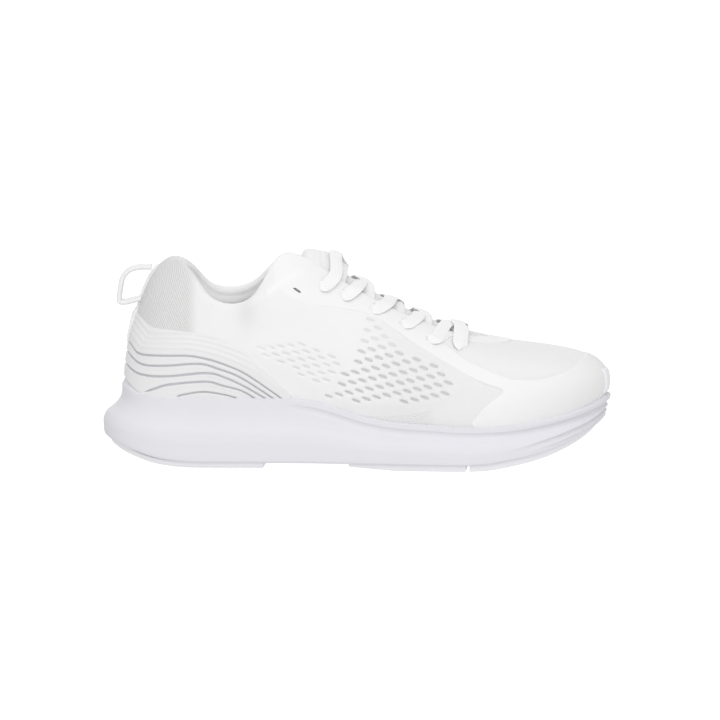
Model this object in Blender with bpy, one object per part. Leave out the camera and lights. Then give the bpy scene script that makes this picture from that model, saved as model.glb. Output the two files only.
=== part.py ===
"""Running shoe for the right foot, built as the separate pieces it is made of.

Frame: +X points to the toe, +Y to the inner (medial) side, +Z up. The origin is on the ground
under the middle of the shoe. All driving dimensions are in millimetres; MM turns them into metres.

The upper is one smooth surface. Its position u runs round the shoe from the centre of the heel (0)
along the outer side to the toe (0.5) and back along the inner side (1). Its position v runs from
the sole (0) to the top edge (1). Every layer of the upper lies at its own depth under that surface.
"""

import math

import bmesh
import bpy
import numpy as np

MM = 0.001
GAP = 0.35

# Stations round the outer half, heel to toe: widest outline x, y; inset of the upper's foot;
# top edge x, y, z; then the outward and upward reach of the lower and of the upper rib handle.
STATIONS = np.array(
    [
        (-145.3, 0.0, 12.4, -107.0, 0.0, 116.8, 0.0, 27.0, 19.0, -6.5),
        (-138.0, -20.5, 10.0, -102.0, -14.5, 117.0, 0.0, 28.0, 10.5, -9.0),
        (-119.0, -33.0, 8.5, -92.8, -23.5, 109.0, 2.5, 26.0, 6.0, -15.0),
        (-92.0, -37.0, 8.0, -81.5, -28.5, 95.0, 4.0, 22.0, 4.0, -20.0),
        (-62.0, -38.0, 8.0, -60.5, -29.3, 98.0, 5.0, 24.0, 7.0, -22.0),
        (-32.0, -39.0, 8.0, -43.5, -24.5, 123.8, 5.0, 28.0, 12.0, -28.0),
        (-2.0, -42.3, 8.0, -18.5, -18.5, 114.0, 6.0, 29.0, 16.0, -26.0),
        (27.0, -46.5, 8.0, 8.0, -15.5, 97.0, 7.0, 27.0, 17.0, -18.0),
        (56.0, -49.3, 8.0, 31.0, -13.5, 84.5, 8.0, 23.0, 18.0, -10.0),
        (84.0, -47.0, 8.0, 50.0, -11.5, 76.8, 10.0, 25.0, 21.0, -7.0),
        (109.0, -38.0, 7.5, 61.5, -8.5, 73.8, 13.0, 31.0, 28.0, -8.0),
        (129.5, -21.5, 6.0, 67.0, -4.5, 72.8, 18.0, 38.0, 35.0, -9.0),
        (141.0, 5.0, 4.0, 69.0, 0.0, 72.4, 22.0, 41.0, 37.0, -9.0),
    ]
)
# Widest outline of the inner half, from next to the toe back to next to the heel.
INNER_OUTLINE = np.array(
    [
        (134.0, 27.0),
        (114.0, 40.5),
        (90.0, 47.6),
        (62.0, 49.0),
        (33.0, 45.0),
        (4.0, 39.0),
        (-27.0, 35.5),
        (-58.0, 35.0),
        (-90.0, 35.8),
        (-118.5, 32.5),
        (-138.0, 20.5),
    ]
)
TOE = len(STATIONS) - 1
COUNT = 2 * TOE

# Heights along x: footbed floor, top of the midsole rim, and underside of the midsole foam.
FLOOR = [(-146, 31), (-60, 31), (-20, 27.5), (24, 20), (61, 17.5), (85, 18.5), (105, 21.5),
         (122, 25.5), (142, 31)]
RIM = [(-146, 53), (-134, 52), (-129, 47.5), (-121, 42.2), (-105, 40.4), (-43, 40.2), (-27, 38.6),
       (-12, 34.8), (4, 30), (24, 27), (44, 26), (61, 25), (83, 25.7), (103.5, 28.3), (120, 31.7),
       (133, 35.4), (146, 41)]
LIP_DROP = [(-146, 7.0), (-134, 6.5), (-127, 3.2), (-118, 0.6), (-105, 0.6), (146, 0.6)]
FOAM_UNDERSIDE = [(-146, 21), (-140.5, 15.6), (-127, 9.3), (-113.7, 5.4), (-100, 3.8), (-90, 3.5),
                  (-60, 3.5), (0, 3.5), (60, 3.5), (72, 4.0), (87, 6.4), (102, 9.6), (122, 17),
                  (132, 22.5), (142, 30)]

RUBBER = 3.15
HEEL_PAD_END = -54.0
BALL_PAD_START, BALL_PAD_END = -6.0, 60.5
TOE_PAD_START = 62.5
BOTTOM_INSET = 4.5

SHELL = 1.2
PUFF_DEPTH, PUFF = 1.55, 0.8
LINING_DEPTH, LINING = 2.7, 0.8
FOAM_DEPTH = 3.05
FILM_DEPTH, FILM = -1.45, 0.75
COLLAR_FOAM = 6.0
TOP_EDGE = 0.975
INNER_COLLAR_RISE, INNER_PLATEAU_DROP = 3.2, 6.0

# Stations of the quarters' back and front seams, and half the gap of a seam as a share of the turn.
QUARTER = (4.5, 8.5)
SEAM_GAP = 0.0004

# Shared grid of the upper's layers, so that neighbouring layers have parallel facets.
TURN_STEPS = 48
LEVELS = np.array([0, 0.07, 0.15, 0.24, 0.34, 0.46, 0.58, 0.70, 0.80, 0.89, TOP_EDGE])

# Eyelet rows: x of the lowest, spacing, count, and their place along the rib.
EYELET_X, EYELET_PITCH, EYELET_ROWS, EYELET_V = 57.0, 15.4, 6, 0.915

HINGE = (76.0, 0.0, 62.0)
LACE_WIDTH, LACE_THICKNESS = 5.4, 1.3
# Half the distance between the two legs of the lace at an eyelet row.
LACE_BEND = 3.4

# The tongue's face lies this deep under the throat's edge, its ends are at these stations, and its
# top end reaches this much further up and back. Layers: distance under the face and thickness.
TONGUE_EDGE_V, TONGUE_EDGE_DEPTH, TONGUE_DROP = 0.86, 4.2, 3.6
TONGUE_FRONT_CROWN, TONGUE_CROWN = 1.0, 4.0
TONGUE_FIRST, TONGUE_LAST, TONGUE_TOP = 6.05, 10.6, (-12.5, 0, 9.5)
TONGUE_SHELL, TONGUE_FOAM, TONGUE_LINING = (0.0, 1.2), (1.9, 5.0), (7.6, 1.2)
TONGUE_DOWN = np.array([-0.45, 0, -0.89])


# ---------------------------------------------------------------- curves and the upper's surface


def height(table, x):
    """Smooth curve through the (x, height) points of a table, level where the table is level."""
    xs, hs = np.array(table, float).T
    x = np.clip(np.asarray(x, float), xs[0], xs[-1])
    chords = np.diff(hs) / np.diff(xs)
    before, after = np.append(chords[0], chords), np.append(chords, chords[-1])
    turning = before * after <= 0
    slope = np.where(turning, 0, 2 * before * after / np.where(turning, 1, before + after))
    i = np.clip(np.searchsorted(xs, x, side="right") - 1, 0, len(xs) - 2)
    step = xs[i + 1] - xs[i]
    t = (x - xs[i]) / step
    rise = hs[i] * (1 + 2 * t) * (1 - t) ** 2 + hs[i + 1] * t * t * (3 - 2 * t)
    return rise + step * (slope[i] * t * (1 - t) ** 2 - slope[i + 1] * t * t * (1 - t))


def controls_through(points):
    """Control points of the closed cubic spline that passes through the given points."""
    row = np.zeros(len(points))
    row[[0, 1, -1]] = (4, 1, 1)
    system = np.array([np.roll(row, i) for i in range(len(points))]) / 6
    return np.linalg.solve(system, np.asarray(points, float))


def along(controls, u):
    """Point of a closed cubic spline at u, which runs from 0 to 1 round it."""
    s = (np.asarray(u, float) % 1.0) * len(controls)
    i = np.floor(s).astype(int)
    f = s - i
    weights = [(1 - f) ** 3, 3 * f**3 - 6 * f**2 + 4, -3 * f**3 + 3 * f**2 + 3 * f + 1, f**3]
    return sum(w[..., None] * controls[(i - 1 + k) % len(controls)] for k, w in enumerate(weights)) / 6


def station_rows():
    """The station table for the whole turn, with the inner half mirrored and on its own outline."""
    inner = STATIONS[1:-1][::-1].copy()
    inner[:, 4] *= -1
    inner[-4:-2, 5] += INNER_COLLAR_RISE
    inner[-5, 5] -= INNER_PLATEAU_DROP
    inner[:, 0:2] = INNER_OUTLINE
    return np.vstack([STATIONS, inner])


ROWS = station_rows()
OUTLINE = controls_through(ROWS[:, 0:2])


def outward(u):
    """Unit vector in plan, square to the outline and away from the foot."""
    du = 1e-4
    tangent = along(OUTLINE, u + du) - along(OUTLINE, u - du)
    tangent /= np.linalg.norm(tangent, axis=-1, keepdims=True)
    return np.stack([tangent[..., 1], -tangent[..., 0]], axis=-1)


def rib_controls():
    """Control nets of the four rows of rib points: foot, two handles and top."""
    out = outward(np.arange(COUNT) / COUNT)
    foot_plan = ROWS[:, 0:2] - out * ROWS[:, 2:3]
    foot = np.column_stack([foot_plan, height(FLOOR, foot_plan[:, 0]) + GAP])
    top = ROWS[:, 3:6]
    side = np.column_stack([-out[:, 1], out[:, 0]])
    lean = side * np.sum((top[:, :2] - foot[:, :2]) * side, axis=1, keepdims=True) / 3
    low = foot + np.column_stack([out * ROWS[:, 6:7] + lean, ROWS[:, 7]])
    high = top + np.column_stack([out * ROWS[:, 8:9] - lean, ROWS[:, 9]])
    return [controls_through(row) for row in (foot, low, high, top)]


RIBS = rib_controls()


def surface(u, v):
    """Point of the upper's outer surface."""
    u, v = np.broadcast_arrays(np.asarray(u, float), np.asarray(v, float))
    foot, low, high, top = (along(row, u) for row in RIBS)
    v = v[..., None]
    return foot * (1 - v) ** 3 + 3 * low * v * (1 - v) ** 2 + 3 * high * v * v * (1 - v) + top * v**3


def layer(u, v, depth):
    """Point at a depth under the outer surface; a negative depth is outside it."""
    step = 2e-3
    across = surface(u + step, v) - surface(u - step, v)
    up = surface(u, np.minimum(v + step, 1)) - surface(u, np.maximum(v - step, 0))
    normal = np.cross(across, up)
    normal /= np.linalg.norm(normal, axis=-1, keepdims=True)
    return surface(u, v) - normal * np.asarray(depth, float)[..., None]


def v_at(u, z):
    """Place along the rib at u where the surface reaches the height z."""
    steps = np.linspace(0, 1, 200)
    return float(np.interp(z, surface(u, steps)[:, 2], steps))


def v_rim(u, above=0.0):
    """Place along the rib at u that is level with the midsole's rim, or above it."""
    v = 0.2
    for _ in range(6):
        v = v_at(u, height(RIM, surface(u, v)[0]) + above)
    return v


def u_at(x):
    """Place on the outline of the outer half that has this x."""
    steps = np.linspace(0, 0.5, 400)
    return float(np.interp(x, along(OUTLINE, steps)[:, 0], steps))


def u_where(x, v):
    """Place on the outer half where the surface at v has this x."""
    steps = np.linspace(0.02, 0.5, 300)
    return float(np.interp(x, surface(steps, v)[:, 0], steps))


def v_on_line(u, line, start=0.1):
    """Place along the rib at u where it crosses a line of (x, height) points, coming from below."""
    steps = np.linspace(start, 1, 200)
    points = surface(u, steps)
    above = points[:, 2] - height(line, points[:, 0])
    return float(np.interp(0, above, steps))


def turn(first, last):
    """Places on the shared grid from station to station, in steps of half a station."""
    per_station = TURN_STEPS // COUNT
    return np.arange(round(first * per_station), round(last * per_station) + 1) / TURN_STEPS


def u_station(number):
    """Place of a station, counted from the heel; fractions lie between two stations."""
    return number / COUNT


# ---------------------------------------------------------------- meshes


def material(name, colour, roughness):
    """Principled material of one sub-part."""
    made = bpy.data.materials.new(name)
    made.use_nodes = True
    shader = made.node_tree.nodes["Principled BSDF"]
    shader.inputs["Base Color"].default_value = (*colour, 1)
    shader.inputs["Roughness"].default_value = roughness
    shader.inputs["Metallic"].default_value = 0
    return made


def add_object(name, points, faces, colour, roughness, parent=None):
    """One closed body from points in millimetres, with its faces turned outwards."""
    mesh = bpy.data.meshes.new(name)
    origin = np.array(HINGE) if parent else np.zeros(3)
    mesh.from_pydata(((np.asarray(points) - origin) * MM).tolist(), [], faces)
    bm = bmesh.new()
    bm.from_mesh(mesh)
    bmesh.ops.recalc_face_normals(bm, faces=bm.faces)
    bmesh.ops.triangulate(bm, faces=bm.faces)
    bm.to_mesh(mesh)
    bm.free()
    mesh.shade_smooth()
    mesh.set_sharp_from_angle(angle=math.radians(40))
    mesh.materials.append(material(name, colour, roughness))
    made = bpy.data.objects.new(name, mesh)
    made.parent = parent
    bpy.context.collection.objects.link(made)
    return made


def loft(rings, closed):
    """Points and faces of equal rings joined in order; the ends of an open loft are closed.

    A ring runs out along one side and back along the other, so its two halves face each other.
    """
    rings = np.asarray(rings)
    count, size = rings.shape[:2]
    faces = []
    for i in range(count if closed else count - 1):
        j = (i + 1) % count
        for k in range(size):
            m = (k + 1) % size
            faces.append((i * size + k, i * size + m, j * size + m, j * size + k))
    if not closed:
        for start in (0, (count - 1) * size):
            for k in range(size // 2 - 1):
                faces.append((start + k, start + k + 1, start + size - 2 - k, start + size - 1 - k))
    return rings.reshape(-1, 3), faces


def band(places, section, closed=False):
    """Solid swept round the upper; section(u) gives the outer and the inner run of (v, depth)."""
    rings = []
    for u in places:
        outer, inner = section(u)
        run = np.array(list(outer) + list(inner)[::-1])
        rings.append(layer(np.full(len(run), u), run[:, 0], run[:, 1]))
    return loft(rings, closed)


def sheet(levels, depth, thickness):
    """Section of an even layer over the given levels of the rib."""

    def section(u):
        return [(v, depth) for v in levels], [(v, depth + thickness) for v in levels]

    return section


def plate(places, top, bottom, ts=(0, 0.25, 0.5, 0.75, 1)):
    """Solid between two surfaces over the rungs that join the outer and the inner half.

    top(u, t) and bottom(u, t) give points of the rung at u, with t from 0 (outer) to 1 (inner).
    """
    rings = [[top(u, t) for t in ts] + [bottom(u, t) for t in ts[::-1]] for u in places]
    return loft(rings, False)


# ---------------------------------------------------------------- sole unit


def bottom_outline(u):
    """Point of the edge of the midsole's underside."""
    plan = along(OUTLINE, u) - outward(u) * BOTTOM_INSET
    return np.append(plan, height(FOAM_UNDERSIDE, plan[0]))


def rung(edge, u, t):
    """Point between the outer and the inner half of an edge."""
    return edge(u) * (1 - t) + edge(1 - u) * t


def midsole_rings(u):
    """Points from the footbed's edge up the cup wall, over the rim and down the flared side."""
    out = np.append(outward(u), 0)
    rim_v = v_rim(u)
    wall = [layer(u, v, -GAP) for v in (0, rim_v * 0.5, rim_v)]
    wall[0][2] = height(FLOOR, wall[0][0])
    rim = surface(u, rim_v)
    widest = np.append(along(OUTLINE, u), 0)
    base = bottom_outline(u)
    tall = rim[2] - base[2]
    reach = np.dot(widest - rim, out)
    flat_rim = rim * (1, 1, 0)

    def side(share, level):
        return flat_rim + out * (2.6 + (reach - 2.6) * share) + (0, 0, base[2] + tall * level)

    drop = float(height(LIP_DROP, rim[0]))
    lip = [rim + out * 1.3 + (0, 0, 0.6 - drop * 0.3), rim + out * 2.4 - (0, 0, drop)]
    flank = [side(0.02, 0.78), side(0.3, 0.62), side(0.85, 0.45), side(1.0, 0.30), side(0.86, 0.12)]
    return wall + lip + flank + [base]


def build_midsole(places):
    rings = np.array([midsole_rings(u) for u in places])
    points, faces = rings.reshape(-1, 3), []
    count, size = rings.shape[:2]
    for i in range(count):
        j = (i + 1) % count
        for k in range(size - 1):
            faces.append((i * size + k, i * size + k + 1, j * size + k + 1, j * size + k))
    for k in (0, size - 1):
        for i in range(count // 2):
            j, far, near = i + 1, count - i - 1, (count - i) % count
            corners = [i * size + k, j * size + k, far * size + k, near * size + k]
            faces.append(tuple(dict.fromkeys(corners)))
    return points, faces


def build_pad(start, end, steps, thickness, edge_rise=0.0):
    """Rubber pad glued under the foam, between two places of the outer half.

    Its ground face is flat across and turns up by edge_rise along both sides.
    """
    places = np.linspace(start, end, steps)

    def top(u, t):
        return rung(bottom_outline, u, t) - (0, 0, GAP)

    def bottom(u, t):
        point = rung(bottom_outline, u, t)
        rise = edge_rise if t in (0, 1) else 0
        return point - (0, 0, GAP + thickness(point[0]) - rise)

    return plate(places, top, bottom, (0, 0.09, 0.5, 0.91, 1))


def ball_thickness(x):
    return RUBBER * float(np.interp(x, (BALL_PAD_START - 4, 20), (0.3, 1)))


def footbed(depth, low, high):
    """Flat layer inside the upper, following its foot at a depth."""

    def edge(u, above):
        point = layer(u, 0.03, depth)
        point[2] = height(FLOOR, point[0]) + above
        return point

    def level(above):
        return lambda u, t: edge(u, above) * (1 - t) + edge(1 - u, above) * t

    places = np.concatenate([[0.25 / TURN_STEPS], turn(0.5, TOE - 0.5), [0.5 - 0.25 / TURN_STEPS]])
    return plate(places, level(high), level(low))


# ---------------------------------------------------------------- upper


def collar_fullness(u):
    """Share of the collar's full padding at u: none in front of the ankle, full round the heel."""
    number = min(u % 1, 1 - u % 1) * COUNT
    return float(np.clip((5.0 - number) / 1.4, 0, 1)) ** 0.7


def collar_foam_section(u):
    thick = 1.0 + (COLLAR_FOAM - 1.0) * collar_fullness(u)
    vs = (0.58, 0.70, 0.80, 0.89, 0.955)
    swell = thick * np.array([0.25, 0.75, 1.0, 1.0, 0.6])
    return [(v, FOAM_DEPTH) for v in vs], [(v, FOAM_DEPTH + s) for v, s in zip(vs, swell)]


def collar_lining_section(u):
    thick = 1.0 + (COLLAR_FOAM - 1.0) * collar_fullness(u)
    vs = (0.985, 0.97, 0.955, 0.89, 0.80, 0.70, 0.58, 0.34, 0.07)
    swell = thick * np.array([0.0, 0.45, 0.68, 1.0, 1.0, 0.75, 0.25, 0, 0])
    near = FOAM_DEPTH + GAP + swell
    near[0] = SHELL + GAP
    far = near + LINING
    far[0] = SHELL + GAP + LINING * 0.5
    outer = list(zip(vs, near))
    inner = list(zip((0.998, 0.985, 0.967) + vs[3:], far))
    return outer, inner


def build_tongue_layer(low, thickness):
    """Layer of the tongue, low under its face; the tongue thins towards its front end."""
    start, end = u_station(TONGUE_FIRST), u_station(TONGUE_LAST)
    ts = np.linspace(0, 1, 7)
    rings = []
    for u in np.linspace(start, end, 9):
        left = layer(u, TONGUE_EDGE_V, TONGUE_EDGE_DEPTH)
        right = layer(1 - u, TONGUE_EDGE_V, TONGUE_EDGE_DEPTH)
        rise = (end - u) / (end - start)
        arch = TONGUE_FRONT_CROWN + (TONGUE_CROWN - TONGUE_FRONT_CROWN) * min(1, 2 * rise)
        crown = (surface(u, 1.0) + surface(1 - u, 1.0)) / 2 + (0, 0, arch)
        down = TONGUE_DOWN * (0.35 + 0.65 * rise)
        middle = 2 * crown - (left + right) / 2
        face = [left * (1 - t) ** 2 + middle * 2 * t * (1 - t) + right * t * t for t in ts]
        face = [p - (0, 0, TONGUE_DROP) + down * low for p in face]
        back = [p + down * thickness for p in face]
        rings.append(face + back[::-1])
    rings.insert(0, np.array(rings[0]) + TONGUE_TOP)
    return loft(rings, False)


def on_half(u, half):
    """The same place on the outer half (0) or the inner half (1)."""
    return u if half == 0 else 1 - u


def over_edge(x, half):
    """Point just above the throat's edge, and the direction away from the surface there."""
    u = on_half(u_where(x, 1.0), half)
    return layer(u, 1.0, FILM_DEPTH - 2.0), (0, 0.35 * (2 * half - 1), 0.94)


def lace_route():
    """Points of the lace and the directions it faces: a zigzag to the lowest row, across, and back up.

    The half that comes back up crosses above the first half.
    """
    last = EYELET_ROWS - 1
    down = [(row, (row + 1) % 2) for row in range(last, -1, -1)]
    turns = down + [(row, row % 2) for row in range(last + 1)]
    points, facing = [], []
    for index, (row, half) in enumerate(turns):
        u = on_half(u_where(EYELET_X - EYELET_PITCH * row, EYELET_V), half)
        place, skin = layer(u, EYELET_V, FILM_DEPTH - 1.5), surface(u, EYELET_V)
        face = (place - skin) / np.linalg.norm(place - skin)
        outwards = layer(u, EYELET_V - 0.04, 0) - layer(u, EYELET_V + 0.04, 0)
        outwards /= np.linalg.norm(outwards)
        climb = np.cross(face, outwards) * (1 if half == 0 else -1)
        climb *= 0 if row == 0 else (-1 if index <= last else 1)
        if row == 0:
            points += [place]
            facing += [face]
        else:
            bend = climb * LACE_BEND - outwards * 2.0
            points += [place - climb * LACE_BEND - outwards * 2.0, place + outwards * 1.4, place + bend]
            facing += [face] * 3
        if index == len(turns) - 1:
            break
        next_row, next_half = turns[index + 1]
        x_here, x_next = (EYELET_X - EYELET_PITCH * r for r in (row, next_row))
        lift = 2.2 if index > last else 0.0
        for share, side in ((0.22, half), (0.78, next_half)):
            point, direction = over_edge(x_here + (x_next - x_here) * share - 7.0, side)
            points.append(point + (0, 0, lift * 0.6))
            facing.append(direction)
        crown = (points[-1] + points[-2]) / 2 + (0, 0, 0.8 + lift * 0.4)
        points.insert(-1, crown)
        facing.insert(-1, (0.35, 0, 0.94))
    return np.array(points), np.array(facing)


def smooth_route(points, steps):
    """Catmull-Rom curve through the points."""
    padded = np.vstack([2 * points[0] - points[1], points, 2 * points[-1] - points[-2]])
    made = []
    for a, b, c, d in zip(padded[:-3], padded[1:-2], padded[2:-1], padded[3:]):
        for t in np.arange(steps) / steps:
            made.append(0.5 * (2 * b + (c - a) * t + (2 * a - 5 * b + 4 * c - d) * t**2
                               + (3 * b - a - 3 * c + d) * t**3))
    return np.array(made + [points[-1]])


def ribbon(route, facing, width, thickness):
    """Flat strip along a route, its broad side towards facing."""
    tangent = np.gradient(route, axis=0)
    tangent /= np.linalg.norm(tangent, axis=1, keepdims=True)
    side = np.cross(facing, tangent)
    side /= np.linalg.norm(side, axis=1, keepdims=True)
    up = np.cross(tangent, side)
    half, thick = side * width / 2, up * thickness / 2
    upper, lower = route + thick, route - thick
    return loft(np.stack([upper + half, upper - half, lower - half, lower + half], 1), False)


def build_pull_tab():
    """Webbing loop at the back of the heel, both ends against the heel strip."""
    route = np.array([(-119.2, 0, 110.2), (-124.0, 0, 110.3), (-130.5, 0, 108.2), (-133.8, 0, 104.2),
                      (-135.2, 0, 97.5), (-135.4, 0, 92.2), (-131.5, 0, 91.4), (-127.6, 0, 92.4)])
    route = smooth_route(route, 3)
    facing = np.cross(np.gradient(route, axis=0), (0, 1, 0))
    return ribbon(route, facing, 12.0, 1.8)


# ---------------------------------------------------------------- assembly


def remove_objects():
    for old in list(bpy.data.objects):
        bpy.data.objects.remove(old, do_unlink=True)


WHITE = (0.86, 0.86, 0.86)
FOAM_WHITE = (0.83, 0.83, 0.86)
INNER_GREY = (0.74, 0.74, 0.72)


def build_sole_unit(round_places):
    add_object("midsole", *build_midsole(round_places), FOAM_WHITE, 0.55)
    heel_end, ball_start = u_at(HEEL_PAD_END), u_at(BALL_PAD_START)
    ball_end, toe_start = u_at(BALL_PAD_END), u_at(TOE_PAD_START)
    pads = {
        "outsole_heel_pad": build_pad(0.012, heel_end, 10, lambda x: RUBBER, 1.4),
        "outsole_ball_pad": build_pad(ball_start, ball_end, 7, ball_thickness),
        "outsole_toe_pad": build_pad(toe_start, 0.488, 12, lambda x: RUBBER),
    }
    for name, shape in pads.items():
        add_object(name, *shape, WHITE, 0.6)
    add_object("strobel_board", *footbed(3.9, 0.5, 2.0), INNER_GREY, 0.9)
    add_object("sockliner", *footbed(5.2, 2.4, 6.4), WHITE, 0.9)


def build_knit():
    """The knit outer layer: heel panel, both quarters and the vamp, butted at their seams."""
    back, front = QUARTER
    panels = {
        "heel_knit": (-back, back),
        "quarter_outer": (back, front),
        "vamp_knit": (front, COUNT - front),
        "quarter_inner": (COUNT - front, COUNT - back),
    }
    for name, (first, last) in panels.items():
        places = turn(first, last)
        places[0] += SEAM_GAP
        places[-1] -= SEAM_GAP
        add_object(name, *band(places, sheet(LEVELS, 0.0, SHELL)), WHITE, 0.85)


def build_upper():
    build_knit()
    counter = band(turn(-4, 4), sheet(LEVELS[1:7], PUFF_DEPTH, PUFF))
    add_object("heel_counter", *counter, INNER_GREY, 0.7)
    puff = band(turn(10, 14), sheet(LEVELS[1:6], PUFF_DEPTH, PUFF))
    add_object("toe_puff", *puff, INNER_GREY, 0.7)
    vamp_levels = np.append(LEVELS[1:10], 0.96)
    vamp = band(turn(5.5, 18.5), sheet(vamp_levels, LINING_DEPTH, LINING))
    add_object("vamp_lining", *vamp, WHITE, 0.9)
    add_object("collar_lining", *band(turn(-5, 5), collar_lining_section), WHITE, 0.9)
    add_object("collar_foam", *band(turn(-4.5, 4.5), collar_foam_section), INNER_GREY, 0.95)
    tape = sheet((0.80, 0.89, 0.96), PUFF_DEPTH, PUFF)
    add_object("eyestay_tape_outer", *band(turn(5.5, 11), tape), WHITE, 0.8)
    add_object("eyestay_tape_inner", *band(1 - turn(5.5, 11), tape), WHITE, 0.8)


EYESTAY_LOW = [(-26, 103), (8.8, 85.7), (20, 78.7), (36, 68), (52.7, 58.4), (67, 50.6), (81, 44), (95, 38)]
WINDOW_EDGE = [(55, 64), (62, 61), (79, 54), (88, 51.3), (101, 51), (111, 53), (120.6, 56.5),
               (129, 61.5), (140, 68)]
FILM_FRONT, WINDOW_FRONT = 8.5, 9.5


def build_toe_film():
    """Film over the toe and along both eyelet rows, one piece with an open window on the toe box."""
    numbers = turn(5.5, 18.5) * COUNT
    folded = np.minimum(numbers, COUNT - numbers)
    levels = []
    for number in folded:
        u = u_station(number)
        window = v_on_line(u, WINDOW_EDGE) if number > 8 else 0.6
        stay = max(v_on_line(u, EYESTAY_LOW), window + 0.06) if number < 9 else 0.84
        low = np.linspace(v_rim(u, 1.0), min(window, stay - 0.05), 5)
        middle = np.linspace(low[-1], stay, 4)[1:]
        levels.append(np.concatenate([low, middle, [(stay + TOP_EDGE) / 2, TOP_EDGE]]))

    def kept(i, k):
        middle = (folded[i] + folded[i + 1]) / 2
        return k >= 7 or middle > WINDOW_FRONT and k < 4 or FILM_FRONT < middle < WINDOW_FRONT

    return film_patch(numbers / COUNT, np.array(levels), kept)


def film_patch(places, levels, kept, depth=FILM_DEPTH, thickness=FILM):
    """Thin solid over the kept cells of a grid on the upper's surface."""
    count, size = levels.shape
    us = np.repeat(places[:, None], size, 1)
    outer = layer(us, levels, np.full(levels.shape, depth)).reshape(-1, 3)
    inner = layer(us, levels, np.full(levels.shape, depth + thickness)).reshape(-1, 3)
    total = count * size
    faces, edges = [], {}
    for i in range(count - 1):
        for k in range(size - 1):
            if not kept(i, k):
                continue
            cell = (i * size + k, (i + 1) * size + k, (i + 1) * size + k + 1, i * size + k + 1)
            faces.append(cell)
            faces.append(tuple(total + c for c in cell[::-1]))
            for a, b in zip(cell, cell[1:] + cell[:1]):
                edges[(a, b)] = True
    for a, b in edges:
        if (b, a) not in edges:
            faces.append((b, a, total + a, total + b))
    used = sorted({c for face in faces for c in face})
    number = {c: n for n, c in enumerate(used)}
    points = np.vstack([outer, inner])[used]
    return points, [tuple(number[c] for c in face) for face in faces]


def plain_film(places, low, high, steps, depth=FILM_DEPTH, thickness=FILM):
    levels = np.array([np.linspace(low(u), high(u), steps) for u in places])
    return film_patch(np.asarray(places), levels, lambda i, k: True, depth, thickness)


HEEL_FILM_TOP = [(-140, 86), (-128, 86), (-116, 79), (-96, 77.5), (-81, 75), (-66, 68), (-57, 59),
                 (-43, 48), (-36, 44)]
HEEL_FILM_EXTRA = 0.5
BUMPER_DEPTH, BUMPER, BUMPER_TOP = -3.3, 1.5, 53.5
HEEL_STRIP_LOW, HEEL_STRIP_TOP = 87.5, 111.5


def build_films():
    add_object("toe_film", *build_toe_film(), WHITE, 0.5)

    def above_rim(u):
        return v_rim(u, 1.0)

    def heel_top(u):
        return v_on_line(u, HEEL_FILM_TOP)

    depth, thickness = FILM_DEPTH - HEEL_FILM_EXTRA, FILM + HEEL_FILM_EXTRA
    heel = plain_film(turn(-4.5, 4.5), above_rim, heel_top, 5, depth, thickness)
    add_object("heel_overlay", *heel, WHITE, 0.45)
    middle = np.linspace(-0.007, 0.007, 3)
    strip = plain_film(middle, lambda u: v_at(u, HEEL_STRIP_LOW), lambda u: v_at(u, HEEL_STRIP_TOP), 6)
    add_object("heel_strip", *strip, WHITE, 0.6)
    lattice = turn(5, 8)
    add_object("lattice_film_outer", *plain_film(lattice, above_rim, lambda u: 0.64, 5), WHITE, 0.5)
    add_object("lattice_film_inner", *plain_film(1 - lattice, above_rim, lambda u: 0.64, 5), WHITE, 0.5)
    tip = np.linspace(0.48, 0.52, 5)
    low, top = lambda u: v_rim(u, 1.4), lambda u: v_at(u, BUMPER_TOP)
    add_object("toe_bumper", *plain_film(tip, low, top, 4, BUMPER_DEPTH, BUMPER), WHITE, 0.6)


def build_tongue():
    pivot = bpy.data.objects.new("tongue_pivot", None)
    pivot.location = np.array(HINGE) * MM
    bpy.context.collection.objects.link(pivot)
    add_object("tongue_shell", *build_tongue_layer(*TONGUE_SHELL), WHITE, 0.85, pivot)
    add_object("tongue_foam", *build_tongue_layer(*TONGUE_FOAM), INNER_GREY, 0.95, pivot)
    add_object("tongue_lining", *build_tongue_layer(*TONGUE_LINING), WHITE, 0.9, pivot)


def build_lace():
    points, facing = lace_route()
    strip = ribbon(smooth_route(points, 3), smooth_route(facing, 3), LACE_WIDTH, LACE_THICKNESS)
    add_object("lace", *strip, WHITE, 0.8)


def build():
    remove_objects()
    round_places = np.arange(TURN_STEPS) / TURN_STEPS
    build_sole_unit(round_places)
    build_upper()
    build_films()
    build_tongue()
    build_lace()
    add_object("pull_tab", *build_pull_tab(), WHITE, 0.7)


build()
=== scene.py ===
"""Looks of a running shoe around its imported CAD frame.

Tables and lengths are in millimetres, and MM turns them into metres. Axes: +X toe, +Y inner side, +Z up.
The upper is one smooth surface: u runs round the shoe from the centre of the heel (0) along the outer
side to the toe (0.5) and back along the inner side (1); v runs from the sole (0) to the top edge (1).
"""

import math

import bmesh
import bpy
import numpy as np
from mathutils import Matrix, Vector
from mathutils.geometry import delaunay_2d_cdt


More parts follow.
